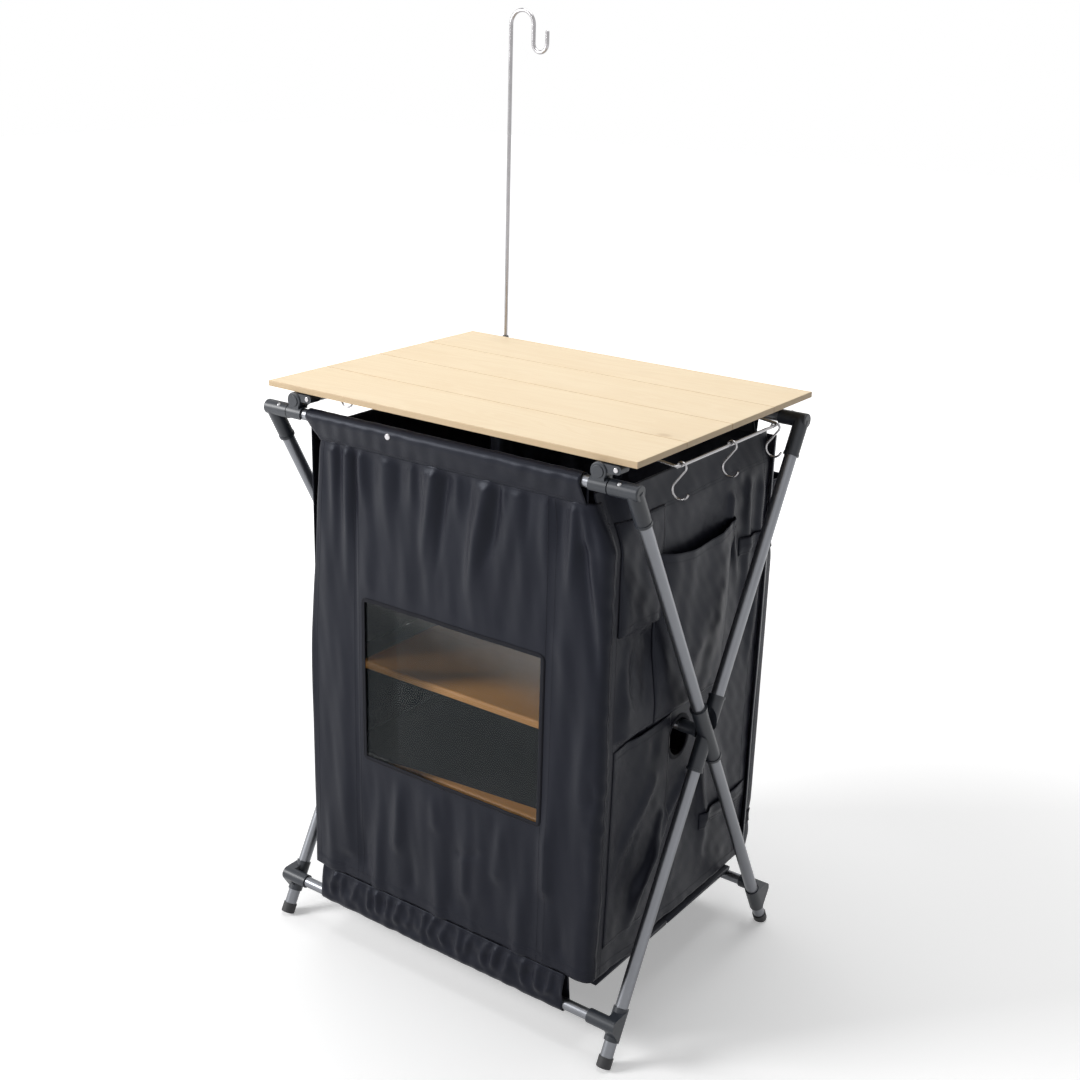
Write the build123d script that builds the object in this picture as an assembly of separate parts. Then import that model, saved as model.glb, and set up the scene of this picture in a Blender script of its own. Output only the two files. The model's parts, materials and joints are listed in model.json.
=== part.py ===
"""Folding camping cupboard: crossed tube frame, fabric body, shelves, rack, slatted top and lantern pole.

Millimetres, +Z up, +X to the right, +Y to the back. The origin is on the floor under the middle of the
frame. Frame A runs from the front top bar to the rear bottom bar, frame B from the rear top bar to the
front bottom bar.
"""

import math
import os

from build123d import *

# Tabletop
TOP_WIDTH = 600.0
TOP_DEPTH = 450.0
TOP_THICKNESS = 8.0
TOP_HEIGHT = 850.0
TOP_SHIFT_Y = 7.0
SLAT_COUNT = 4
SLAT_GAP = 1.0
SLAT_EDGE = 1.0
CORD_R = 1.5
CORD_BORE_R = 1.8
CORD_X = 200.0
CORD_END = 14.0

# Clearances, and how far a cutter runs past what it cuts
BEYOND = 30.0
CUT = 1.0
SEAT_GAP = 0.3
FIT_GAP = 0.05
CLOTH_GAP = 0.3

# Tube frame
TUBE_WALL = 1.2
BAR_R = 8.0
LEG_R = 9.0
CONNECTOR_LENGTH = 42.0
CONNECTOR_R = 10.3
SOCKET_R = 10.6
SOCKET_SINK = 1.0
CONNECTOR_ROUND = 2.0
LEG_CLEAR = 8.8
SOCKET_LENGTH = 52.0
RIM_R = 11.3
RIM_LENGTH = 4.0
TOP_BAR_Y = 215.0
FOOT_Y = 224.0
LEG_SEAT = 15.0
BAR_SEAT = 26.0

# Half-lapped pivot sleeves
SLEEVE_R = 11.0
SLEEVE_HALF = 54.0
SLEEVE_SOLID = 41.0
SLEEVE_RIM_R = 12.0
SLEEVE_RIM_LENGTH = 4.0
LAP_GAP = 0.4
FOLD_DEG = 11.0
FOLD_STEPS = 6
PIN_R = 4.0
PIN_SEAT = 5.0
PLUG_R = 9.0
PLUG_LENGTH = 28.0
PLUG_SPIGOT = 18.0
PLUG_RIM_R = 10.2
PLUG_RIM_LENGTH = 3.5

# Bottom tees and feet
TEE_BAR_Z = 63.7
TEE_OFFSET = 18.5
TEE_HALF = 23.0
TEE_SLEEVE_R = 10.8
TEE_BARREL_R = 10.2
TEE_BARREL_LENGTH = 44.0
TEE_PLATE = 4.0
TEE_SEAT = 2.0
FOOT_R = 10.3
FOOT_LENGTH = 15.0
FOOT_FLOOR = 3.5
FOOT_CUT = 2.6
FOOT_FILLET = 1.2

# Spring buttons in the top connectors
BUTTON_R = 3.0
BUTTON_X_IN = 15.0
BUTTON_TILT = 38.0
BUTTON_PROUD = 1.0
BUTTON_DEPTH = 7.5
BUTTON_DOME = 1.8
BUTTON_FLANGE_R = 4.2
BUTTON_FLANGE = 1.2
BUTTON_PLAY = 0.3

# Rack: rails, fittings, rods
RAIL_R = 9.0
RAIL_WALL = 1.4
RAIL_GAP = 1.5
RAIL_HALF = 221.0
RAIL_LIFT = 1.0
FITTING_R = 11.7
FITTING_Y_IN = 197.0
FITTING_Y_OUT = 223.0
CLIP_WIDTH = 26.0
CLIP_R = 10.6
CLIP_GAP = 0.3
CLIP_LIP_DEG = 40.0
CLIP_MOUTH = 1.5
NECK_INSET = 4.0
NECK_FRONT = 8.0
NECK_BACK = 10.0
LUG_REACH = 31.0
LUG_Z = 5.5
LUG_HEIGHT = 10.5
LUG_Y = 18.0
LUG_SETBACK = 2.0
LUG_ROUND = 4.725
RIVET_X = 24.0
RIVET_R = 1.6
RIVET_HEAD_R = 3.4
RIVET_HEAD = 1.4
RIVET_ROUND = 0.9
RIVET_INTO = 0.5
RIVET_TAIL_R = 2.72
RIVET_TAIL = 0.98
CAP_RIM = 1.8
CAP_LIP = 1.6
CAP_LIP_IN = 1.0
CAP_PROUD = 1.2
CAP_DISC = 1.5
CAP_ROUND = 0.8
CAP_PLUG = 12.0
ROD_R = 2.0
ROD_REACH = 53.0
ROD_DROP = 6.0
ROD_HALF = 131.0
ROD_SHIFT_Y = 2.5
ROD_BEND = 7.0
ROD_SEAT = 4.0

# S-hooks
HOOK_WIRE_R = 1.5
HOOK_TOP_R = 6.2
HOOK_BOTTOM_R = 11.5
HOOK_DROP = 32.0
HOOK_TOP_TIP_DEG = 205.0
HOOK_TIP_DEG = -15.0
HOOKS_RIGHT_Y = (-119.0, 5.5, 124.0)
HOOKS_LEFT_Y = (-61.0, 4.0, 110.0)

# Lantern pole
POLE_R = 3.0
POLE_INSET = 10.0
POLE_GAP = 2.6
POLE_REACH = 16.5
POLE_TOP = 1337.0
POLE_BASE = 806.0
CROOK_R = 20.8
CROOK_TIP_R = 12.4
CROOK_DROP = 25.0
CROOK_TIP = 16.0
SOCKET_POLE_R = 6.5
SOCKET_RISE = 8.0
SOCKET_DROP = 28.0
COLLAR_R = 4.9
COLLAR_HEIGHT = 12.0
COLLAR_SKIRT_R = 4.4
COLLAR_SKIRT = 12.0
COLLAR_ROUND = 1.0
BRACKET_GAP = 1.3
BRACKET_DISC_R = 10.2
BRACKET_DISC = 4.0
ARM_EDGE = 2.0
ARM_LOW = 8.0
ARM_HIGH = 6.0

# Fabric body
CLOTH = 1.6
CLOTH_X = 10.0
CLOTH_HALF_X = 244.5
SIDE_HALF_Y = 203.0
SIDE_DROP = 17.0
SIDE_BOTTOM = 90.0
SIDE_BAND = 40.0
SIDE_FOLD = 3.0
SIDE_FOLDS = 5
HUB_HOLE_R = 26.0
HUB_SLOT_R = 18.0
HUB_HOLE_SLOT = 26.0
PANEL_Y = 212.0
PANEL_DROP = 28.3
PANEL_BOTTOM = 113.0
PANEL_SIDE_GAP = 2.0
PANEL_FOLD = 3.4
PANEL_FOLDS = 11
PANEL_GATHER = 45.0
FLAT_FOLD = 0.1
HEM_FOLD = 2.2
BAND_GAP = 11.0
BAND_SLANT = 6.0
BAND_SHIFT = 10.0
SLEEVE_CLOTH_R = 8.3
STUD_X = -77.0
STUD_R = 4.5
STUD_HEIGHT = 2.0
STUD_SEAT = 1.5
STUD_ROUND = 1.2
LOW_SLEEVE_INSET = 2.0
LOW_SLEEVE_TOP = 112.0
LOW_SLEEVE_FOLDS = 12
LOW_SLEEVE_FOLD = 1.6

# Window in the front panel
WINDOW_WIDTH = 306.0
WINDOW_HEIGHT = 244.0
WINDOW_X = 18.0
WINDOW_Z = 445.0
BINDING = 9.0
BINDING_THICKNESS = 3.0
BINDING_ROUND = 2.0
FILM_LAP = 2.0
FILM_THICKNESS = 0.8

# Shelves
SHELF_HALF_Y = 150.0
SHELF_GAP = 0.6
SHELF_ROUND = 0.3
UPPER_SHELF_T = 12.0
LOWER_SHELF_TOP = 286.0
LOWER_SHELF_T = 15.0
FLOOR_HALF_Y = 186.0
FLOOR_T = 6.0
FLOOR_LIFT = 2.0

# Side pockets on the right panel
POCKET_DEPTH = 16.0
POCKET_ROUND = 6.0
POCKET_BOTTOM_ROUND = 11.0
POCKET_SEAT = 8.0
UPPER_POCKET = (-96.0, 100.0, 447.0, 690.0)
UPPER_SAG = 26.0
LOWER_POCKET = (-168.0, -34.0, 150.0, 438.0)
LOWER_SAG = 8.0

# Rear pouch
POUCH_EDGE = 0.5
POUCH_WIDTH = 58.0
POUCH_DEPTH = 26.0
POUCH_ROUND = 20.0
POUCH_SEAT = 6.0
POUCH_LOW_ROUND = 4.8
POUCH_TOP = 715.0
POUCH_BOTTOM = 105.0
STRAP_HEIGHTS = (165.0, 620.0)
STRAP_WIDTH = 20.0
STRAP_T = 1.4

# Places that follow from the sizes above
TOP_UNDER = TOP_HEIGHT - TOP_THICKNESS
TOP_REAR = TOP_DEPTH / 2 + TOP_SHIFT_Y
SIDE_RIGHT = CLOTH_X + CLOTH_HALF_X
SIDE_LEFT = CLOTH_X - CLOTH_HALF_X
SIDE_OUT = SIDE_RIGHT + 2 * SIDE_FOLD + CLOTH
PANEL_HALF_X = CLOTH_HALF_X - PANEL_SIDE_GAP
POUCH_X_IN = CLOTH_X + PANEL_HALF_X - POUCH_EDGE - POUCH_WIDTH
POUCH_Y = PANEL_Y + CLOTH / 2 + PANEL_FOLD
LEG_X = SIDE_OUT + POCKET_DEPTH + LEG_CLEAR + LEG_R
CONNECTOR_END_X = LEG_X + SOCKET_R - SOCKET_SINK
CONNECTOR_X = CONNECTOR_END_X - CONNECTOR_LENGTH
RAIL_X = CONNECTOR_X - RAIL_GAP - CLIP_WIDTH / 2
RAIL_Z = TOP_UNDER - SEAT_GAP - FITTING_R
TOP_BAR_Z = RAIL_Z - RAIL_R - RAIL_LIFT - BAR_R
PANEL_TOP = TOP_BAR_Z - PANEL_DROP
SIDE_TOP = TOP_BAR_Z - SIDE_DROP
BAND_HALF_TOP = RAIL_X - CLIP_WIDTH / 2 - BAND_GAP
BAND_HALF_LOW = BAND_HALF_TOP - BAND_SLANT
BAND_R = SLEEVE_CLOTH_R + CLOTH
LOW_SLEEVE_HALF = BAND_HALF_TOP - LOW_SLEEVE_INSET
LEAN = math.degrees(math.atan2(TOP_BAR_Y + FOOT_Y, TOP_BAR_Z))
COS_LEAN = math.cos(math.radians(LEAN))
SIN_LEAN = math.sin(math.radians(LEAN))
PIVOT_Z = FOOT_Y / math.tan(math.radians(LEAN))
UP_LENGTH = (TOP_BAR_Z - PIVOT_Z) / COS_LEAN
TEE_DOWN = (PIVOT_Z - TEE_BAR_Z + TEE_OFFSET * SIN_LEAN) / COS_LEAN
TEE_BAR_Y = TEE_DOWN * SIN_LEAN + TEE_OFFSET * COS_LEAN
FOOT_END_Z = FOOT_R * SIN_LEAN - FOOT_CUT
FOOT_DOWN = (PIVOT_Z - FOOT_END_Z) / COS_LEAN
ROD_X = RAIL_X + ROD_REACH
ROD_Z = RAIL_Z - ROD_DROP
LUG_FACE = LUG_SETBACK - FITTING_Y_OUT
SOCKET_TOP = RAIL_Z + SOCKET_RISE
SOCKET_BOTTOM = RAIL_Z - SOCKET_DROP
COLLAR_TOP = SOCKET_TOP + COLLAR_HEIGHT
POLE_X = POLE_INSET - RAIL_X
POLE_Y = max(TOP_REAR + POLE_GAP + COLLAR_R, FITTING_Y_OUT + POLE_REACH)
PLUG_END_X = LEG_X - SLEEVE_R - CLOTH_GAP
BAR_END_X = PLUG_END_X - PLUG_LENGTH
UPPER_SHELF_UNDER = PIVOT_Z + BAR_R + SEAT_GAP
FLOOR_Z = SIDE_BOTTOM + FLOOR_LIFT


def save(node, *solids):
    """Write the solids of one node to its own STEP file."""
    flat = [solid for shape in solids for solid in shape.solids()]
    whole = flat[0] if len(flat) == 1 else Compound(children=flat)
    whole.label = node
    export_step(whole, os.path.join("parts", node + ".step"))


def rod_x(radius, x0, x1, y=0.0, z=0.0):
    """A round bar along X between two places."""
    middle = (x0 + x1) / 2
    return Pos(middle, y, z) * Rot(0, 90, 0) * Cylinder(radius, abs(x1 - x0))


def rod_y(radius, y0, y1, x=0.0, z=0.0):
    """A round bar along Y between two places."""
    middle = (y0 + y1) / 2
    return Pos(x, middle, z) * Rot(90, 0, 0) * Cylinder(radius, abs(y1 - y0))


def rod_z(radius, z0, z1, x=0.0, y=0.0):
    """A round bar along Z between two places."""
    return Pos(x, y, (z0 + z1) / 2) * Cylinder(radius, abs(z1 - z0))


def block(x0, x1, y0, y1, z0, z1):
    """A box between two corners."""
    middle = Pos((x0 + x1) / 2, (y0 + y1) / 2, (z0 + z1) / 2)
    return middle * Box(abs(x1 - x0), abs(y1 - y0), abs(z1 - z0))


def left_of(solid):
    """The mirror image on the other side of the cupboard."""
    return mirror(solid, Plane.YZ)


def behind(solid):
    """The mirror image at the back of the cupboard."""
    return mirror(solid, Plane.XZ)


def on_leg(solid):
    """Place a solid made about the Z axis on the right leg of frame A, pivot at the origin."""
    return Pos(LEG_X, 0, PIVOT_Z) * Rot(LEAN, 0, 0) * solid


def top_bar():
    """The front top crossbar, with the holes of its two spring buttons."""
    end = CONNECTOR_X + BAR_SEAT
    bar = rod_x(BAR_R, -end, end) - rod_x(BAR_R - TUBE_WALL, -end - CUT, end + CUT)
    bar = Pos(0, -TOP_BAR_Y, TOP_BAR_Z) * bar
    hole = button_axis() * rod_z(BUTTON_R + FIT_GAP, 0, CONNECTOR_R)
    return bar - hole - left_of(hole)


def button_axis():
    """The frame of the right front spring button, its Z axis pointing out of the tube."""
    return Pos(CONNECTOR_X + BUTTON_X_IN, -TOP_BAR_Y, TOP_BAR_Z) * Rot(BUTTON_TILT, 0, 0)


def spring_button():
    """A domed button that locks the crossbar into its connector."""
    top = CONNECTOR_R + BUTTON_PROUD
    pin = rod_z(BUTTON_R, top - BUTTON_DEPTH, top)
    rim = pin.edges().filter_by(GeomType.CIRCLE).sort_by(Axis.Z)[-1]
    low = top - BUTTON_DEPTH
    flange = rod_z(BUTTON_FLANGE_R, low - BUTTON_FLANGE, low)
    return button_axis() * (fillet(rim, BUTTON_DOME) + flange)


def corner_connector():
    """The right front corner piece: a barrel for the crossbar and a slanted socket for the leg."""
    barrel = rod_x(CONNECTOR_R, CONNECTOR_X, CONNECTOR_END_X)
    ends = barrel.edges().filter_by(GeomType.CIRCLE).sort_by(Axis.X)
    barrel = fillet([ends[-1]], CONNECTOR_ROUND)
    barrel = Pos(0, -TOP_BAR_Y, TOP_BAR_Z) * barrel
    mouth = UP_LENGTH - SOCKET_LENGTH
    socket = on_leg(rod_z(SOCKET_R, mouth, UP_LENGTH))
    rim = on_leg(rod_z(RIM_R, mouth, mouth + RIM_LENGTH))
    piece = barrel + socket + rim
    bar_bore = rod_x(BAR_R + FIT_GAP, CONNECTOR_X - CUT, CONNECTOR_X + BAR_SEAT + FIT_GAP)
    bar_bore = Pos(0, -TOP_BAR_Y, TOP_BAR_Z) * bar_bore
    leg_bore = on_leg(rod_z(LEG_R + FIT_GAP, mouth - CUT, UP_LENGTH - LEG_SEAT + FIT_GAP))
    hole = button_axis() * rod_z(BUTTON_R + BUTTON_PLAY, 0, CONNECTOR_R + BEYOND)
    return piece - bar_bore - leg_bore - hole


def leg_tube(z0, z1):
    """One length of leg tube of the right leg of frame A."""
    return on_leg(rod_z(LEG_R, z0, z1) - rod_z(LEG_R - TUBE_WALL, z0 - CUT, z1 + CUT))


def upper_leg():
    """The leg tube between the corner connector and the pivot sleeve."""
    return leg_tube(SLEEVE_SOLID + FIT_GAP, UP_LENGTH - LEG_SEAT)


def lower_leg():
    """The leg tube between the pivot sleeve and the foot."""
    return leg_tube(-FOOT_DOWN + FOOT_FLOOR + FIT_GAP, -SLEEVE_SOLID - FIT_GAP)


def lap_cut(keep_outer):
    """The space that the crossing sleeve sweeps while the frame folds, in the frame of this leg."""
    reach = 2 * SLEEVE_HALF + BEYOND
    width = 2 * (SLEEVE_R + LAP_GAP)
    shape = None
    for step in range(FOLD_STEPS):
        turn = -2 * (LEAN - FOLD_DEG * step / (FOLD_STEPS - 1))
        bar = Rot(0, 0, turn) * Rectangle(reach, width)
        shape = bar if shape is None else shape + bar
    depth = SLEEVE_RIM_R + CUT
    start = -depth if keep_outer else -LAP_GAP / 2
    cut = extrude(shape, depth + LAP_GAP / 2)
    return Pos(start, 0, 0) * Rot(0, 90, 0) * cut


def pivot_sleeve(keep_outer):
    """A moulded sleeve that joins the two tubes of a leg, lapped to half its depth at the crossing."""
    sleeve = rod_z(SLEEVE_R, -SLEEVE_HALF, SLEEVE_HALF)
    for end in (-1, 1):
        outer = end * SLEEVE_HALF
        inner = end * (SLEEVE_HALF - SLEEVE_RIM_LENGTH)
        sleeve += rod_z(SLEEVE_RIM_R, outer, inner)
    for end in (-1, 1):
        sleeve -= rod_z(LEG_R + FIT_GAP, end * SLEEVE_SOLID, end * (SLEEVE_HALF + CUT))
    sleeve -= lap_cut(keep_outer)
    bore_end = PIN_SEAT if keep_outer else SLEEVE_R + CUT
    sleeve -= rod_x(PIN_R + FIT_GAP, -SLEEVE_R - CUT, bore_end)
    return on_leg(max(sleeve.solids(), key=lambda s: s.volume))


def bottom_tee():
    """The right rear tee: a sleeve on the leg, a barrel for the bottom bar and the web between them."""
    sleeve = rod_z(TEE_SLEEVE_R, -TEE_DOWN - TEE_HALF, -TEE_DOWN + TEE_HALF)
    start = TEE_SLEEVE_R - TEE_BARREL_LENGTH
    barrel = rod_x(TEE_BARREL_R, start, TEE_SLEEVE_R, TEE_OFFSET, -TEE_DOWN)
    corner = Circle(TEE_BARREL_R).edges()
    seat = Pos(TEE_SEAT / 2, 0) * Rectangle(TEE_SEAT, 2 * (TEE_HALF - TEE_SEAT))
    outline = make_hull(corner + (Pos(-TEE_OFFSET, 0) * seat).edges())
    web = extrude(outline, TEE_SLEEVE_R + TEE_PLATE)
    to_leg = Plane(origin=(-TEE_PLATE, TEE_OFFSET, -TEE_DOWN), x_dir=(0, 1, 0), z_dir=(1, 0, 0))
    piece = sleeve + barrel + to_leg * web
    piece -= rod_z(LEG_R + FIT_GAP, -TEE_DOWN - TEE_HALF - CUT, -TEE_DOWN + TEE_HALF + CUT)
    end = TEE_SLEEVE_R - TEE_PLATE + FIT_GAP
    piece -= rod_x(BAR_R + FIT_GAP, start - CUT, end, TEE_OFFSET, -TEE_DOWN)
    return on_leg(piece)


def bottom_bar():
    """The rear bottom crossbar of frame A."""
    end = LEG_X + TEE_SLEEVE_R - TEE_PLATE
    bar = rod_x(BAR_R, -end, end) - rod_x(BAR_R - TUBE_WALL, -end - CUT, end + CUT)
    return Pos(0, TEE_BAR_Y, TEE_BAR_Z) * bar


def foot():
    """A rubber foot, cut flat where it stands."""
    cap = rod_z(FOOT_R, -FOOT_DOWN, -FOOT_DOWN + FOOT_LENGTH)
    low = cap.edges().filter_by(GeomType.CIRCLE).sort_by(Axis.Z)[0]
    cap = fillet([low], FOOT_FILLET)
    cap -= rod_z(LEG_R + FIT_GAP, -FOOT_DOWN + FOOT_FLOOR, -FOOT_DOWN + FOOT_LENGTH + CUT)
    floor = block(LEG_X - BEYOND, LEG_X + BEYOND, FOOT_Y - BEYOND, FOOT_Y + BEYOND, -BEYOND, 0)
    return on_leg(cap) - floor


def arcs_along(points, bulge):
    """Arcs from point to point that bulge to one side and the other in turn."""
    edges = []
    for k in range(len(points) - 1):
        (x0, y0), (x1, y1) = points[k], points[k + 1]
        side = bulge if k % 2 == 0 else -bulge
        edges.append(ThreePointArc((x0, y0), ((x0 + x1) / 2, (y0 + y1) / 2 + side), (x1, y1)))
    return edges


def pleated(width, folds, bulge, thickness):
    """The cross-section of a cloth with shallow pleats, about its middle, along X."""
    step = width / folds
    low = [(-width / 2 + k * step, -thickness / 2) for k in range(folds + 1)]
    high = [(x, y + thickness) for x, y in low]
    sides = [Line(low[0], high[0]), Line(low[-1], high[-1])]
    return make_face(arcs_along(low, bulge) + arcs_along(high, bulge) + sides)


def pleated_panel(width, folds, stops):
    """A hanging cloth from the origin down; its stops are pairs of a drop and the pleats' depth there."""
    sections = [Pos(0, 0, -drop) * pleated(width, folds, depth, CLOTH) for drop, depth in stops]
    return loft(sections, ruled=True)


def curtain_panel():
    """The cloth of one curtain, at the front."""
    height = PANEL_TOP - PANEL_BOTTOM
    stops = ((0, FLAT_FOLD), (PANEL_GATHER, PANEL_FOLD), (height, HEM_FOLD))
    cloth = pleated_panel(2 * PANEL_HALF_X, PANEL_FOLDS, stops)
    return Pos(CLOTH_X, -PANEL_Y, PANEL_TOP) * cloth


def window_block(grow, thickness):
    """A block over the window, grown by a border."""
    half_w = WINDOW_WIDTH / 2 + grow
    half_h = WINDOW_HEIGHT / 2 + grow
    x0, x1 = WINDOW_X - half_w, WINDOW_X + half_w
    z0, z1 = WINDOW_Z - half_h, WINDOW_Z + half_h
    return block(x0, x1, -PANEL_Y - thickness / 2, -PANEL_Y + thickness / 2, z0, z1)


def front_panel():
    """The door cloth with its window cut out."""
    return curtain_panel() - window_block(BINDING + FIT_GAP, BEYOND)


def window_binding():
    """The sewn tape round the window, grooved for the film."""
    tape = window_block(BINDING, BINDING_THICKNESS) - window_block(0, BINDING_THICKNESS + CUT)
    corners = tape.edges().filter_by(Axis.Y).group_by(SortBy.LENGTH)[0]
    tape = fillet(corners, BINDING_ROUND)
    return tape - window_block(FILM_LAP + FIT_GAP, FILM_THICKNESS + 2 * FIT_GAP)


def window_film():
    """The clear film of the window."""
    return window_block(FILM_LAP, FILM_THICKNESS)


def curtain_band():
    """The sleeve on the front top bar with the band sewn under it."""
    tube = rod_x(BAND_R, -BAND_HALF_TOP, BAND_HALF_TOP, -TOP_BAR_Y, TOP_BAR_Z)
    low = PANEL_TOP + CLOTH_GAP
    corners = [
        (-BAND_HALF_TOP, TOP_BAR_Z),
        (BAND_HALF_TOP, TOP_BAR_Z),
        (BAND_HALF_LOW + BAND_SHIFT, low),
        (-BAND_HALF_LOW + BAND_SHIFT, low),
    ]
    face = make_face(Polyline(*corners, close=True))
    plane = Plane(origin=(0, -PANEL_Y + CLOTH / 2, 0), x_dir=(1, 0, 0), z_dir=(0, -1, 0))
    band = plane * extrude(face, CLOTH)
    reach = BAND_HALF_TOP + BEYOND
    return tube + band - rod_x(SLEEVE_CLOTH_R, -reach, reach, -TOP_BAR_Y, TOP_BAR_Z)


def snap_stud():
    """The snap stud on the front of the sleeve, which holds the rolled-up door."""
    face_y = -TOP_BAR_Y - BAND_R
    head = rod_y(STUD_R, face_y - STUD_HEIGHT, face_y + STUD_SEAT, STUD_X, TOP_BAR_Z)
    edge = head.edges().filter_by(GeomType.CIRCLE).sort_by(Axis.Y)[0]
    wrap = rod_x(BAND_R, STUD_X - BEYOND, STUD_X + BEYOND, -TOP_BAR_Y, TOP_BAR_Z)
    return fillet([edge], STUD_ROUND) - wrap


def low_sleeve():
    """The gathered sleeve on the front bottom bar, with its flap up to the hem of the curtain."""
    tube = rod_x(BAND_R, -LOW_SLEEVE_HALF, LOW_SLEEVE_HALF, -TEE_BAR_Y, TEE_BAR_Z)
    height = LOW_SLEEVE_TOP - TEE_BAR_Z
    stops = ((0, LOW_SLEEVE_FOLD), (height, LOW_SLEEVE_FOLD))
    flap = pleated_panel(2 * LOW_SLEEVE_HALF, LOW_SLEEVE_FOLDS, stops)
    flap = Pos(0, -PANEL_Y, LOW_SLEEVE_TOP) * flap
    bore = rod_x(SLEEVE_CLOTH_R, -LOW_SLEEVE_HALF - CUT, LOW_SLEEVE_HALF + CUT, -TEE_BAR_Y, TEE_BAR_Z)
    return tube + flap - bore


def side_panel(x, outward):
    """A side panel with its inner ridges at x: a doubled band, pleated cloth and a slot for the hub."""
    height = SIDE_TOP - SIDE_BOTTOM - SIDE_BAND
    band = block(-SIDE_HALF_Y, SIDE_HALF_Y, -CLOTH, CLOTH, -SIDE_BAND, 0)
    cloth = pleated_panel(2 * SIDE_HALF_Y, SIDE_FOLDS, ((0, SIDE_FOLD), (height, SIDE_FOLD)))
    panel = band + Pos(0, 0, -SIDE_BAND) * cloth
    panel = Pos(x + outward * (SIDE_FOLD + CLOTH / 2), 0, SIDE_TOP) * Rot(0, 0, 90 * outward) * panel
    slot = rod_x(HUB_HOLE_R, x - BEYOND, x + BEYOND, 0, PIVOT_Z)
    slot += rod_x(HUB_SLOT_R, x - BEYOND, x + BEYOND, 0, PIVOT_Z - HUB_HOLE_SLOT)
    return panel - slot


def pocket(limits, sag):
    """A pocket of cloth on the outside of the right side panel, open at its sagging mouth."""
    y0, y1, z0, z1 = limits
    x0, x1 = SIDE_RIGHT, SIDE_OUT + POCKET_DEPTH
    outer = block(x0, x1, y0, y1, z0, z1)
    lower_edges = outer.edges().filter_by(Axis.Y).group_by(Axis.Z)[0].sort_by(Axis.X)[-1]
    outer = fillet([lower_edges], POCKET_BOTTOM_ROUND)
    upright = outer.edges().filter_by(Axis.Z).group_by(Axis.X)[-1]
    outer = fillet(upright, POCKET_ROUND)
    inner = block(x0 - BEYOND, x1 - CLOTH, y0 + CLOTH, y1 - CLOTH, z0 + POCKET_SEAT, z1 + BEYOND)
    middle = (y0 + y1) / 2
    width = y1 - y0
    radius = (width * width / 4 + sag * sag) / (2 * sag)
    mouth = rod_x(radius, x0 - BEYOND, x1 + BEYOND, middle, z1 - sag + radius)
    cloth = outer - inner - mouth - side_panel(SIDE_RIGHT, 1)
    return max(cloth.solids(), key=lambda s: s.volume)


def shelf_half(half_depth, z0, z1):
    """The rear half of a shelf, from the crease in the middle."""
    x0 = SIDE_LEFT + CLOTH_GAP
    x1 = SIDE_RIGHT - CLOTH_GAP
    board = block(x0, x1, SHELF_GAP / 2, half_depth, z0, z1)
    outer_edges = board.edges().filter_by(Axis.X).group_by(Axis.Y)[-1]
    return fillet(outer_edges, (z1 - z0) * SHELF_ROUND)


def rear_pouch():
    """The tall pouch on the rear curtain, open at the top and rounded below."""
    x0, x1 = POUCH_X_IN, POUCH_X_IN + POUCH_WIDTH
    y0 = POUCH_Y
    outer = block(x0, x1, y0, y0 + POUCH_DEPTH, POUCH_BOTTOM, POUCH_TOP)
    uprights = outer.edges().filter_by(Axis.Z).group_by(Axis.Y)[-1]
    outer = fillet(uprights, POUCH_ROUND)
    low_edges = outer.faces().sort_by(Axis.Z)[0].edges().sort_by(Axis.Y)[1:]
    outer = fillet(low_edges, POUCH_LOW_ROUND)
    floor = POUCH_BOTTOM + POUCH_SEAT
    inner = block(x0 + CLOTH, x1 - CLOTH, y0 + CLOTH, y0 + POUCH_DEPTH - CLOTH, floor, POUCH_TOP + BEYOND)
    inner_uprights = inner.edges().filter_by(Axis.Z).group_by(Axis.Y)[-1]
    return outer - fillet(inner_uprights, POUCH_ROUND - CLOTH)


def pouch_strap(z):
    """A webbing strap round the pouch."""
    x0, x1 = POUCH_X_IN, POUCH_X_IN + POUCH_WIDTH
    y0 = POUCH_Y
    grow = STRAP_T + FIT_GAP
    solids = []
    for extra in (grow, FIT_GAP):
        shape = block(x0 - extra, x1 + extra, y0, y0 + POUCH_DEPTH + extra, z, z + STRAP_WIDTH)
        uprights = shape.edges().filter_by(Axis.Z).group_by(Axis.Y)[-1]
        solids.append(fillet(uprights, POUCH_ROUND + extra))
    return solids[0] - solids[1]


def rail():
    """The right rail, with the holes for the hanging rod."""
    tube = rod_y(RAIL_R, -RAIL_HALF, RAIL_HALF, RAIL_X, RAIL_Z)
    tube -= rod_y(RAIL_R - RAIL_WALL, -RAIL_HALF - CUT, RAIL_HALF + CUT, RAIL_X, RAIL_Z)
    for y in rod_leg_places():
        tube -= rod_frame(y) * rod_x(ROD_R + FIT_GAP, 0, BEYOND)
    return tube


def rod_frame(y):
    """The frame of one leg of the right hanging rod: X along the leg, out of the rail and down."""
    slope = math.degrees(math.atan2(ROD_DROP, ROD_REACH))
    return Pos(RAIL_X, y, RAIL_Z) * Rot(0, slope, 0)


def rod_leg_places():
    """The Y places of the two legs of a hanging rod."""
    return (ROD_SHIFT_Y - ROD_HALF, ROD_SHIFT_Y + ROD_HALF)


def hanging_rod():
    """The U-shaped wire rod that hangs the hooks beside the top."""
    front, back = rod_leg_places()
    length = math.hypot(ROD_REACH, ROD_DROP)
    half = (back - front) / 2
    path = FilletPolyline(
        (ROD_SEAT, -half, 0),
        (length, -half, 0),
        (length, half, 0),
        (ROD_SEAT, half, 0),
        radius=ROD_BEND,
    )
    profile = Plane(origin=path @ 0, z_dir=path % 0) * Circle(ROD_R)
    rod = sweep(profile, path)
    return rod_frame((front + back) / 2) * rod


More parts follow.
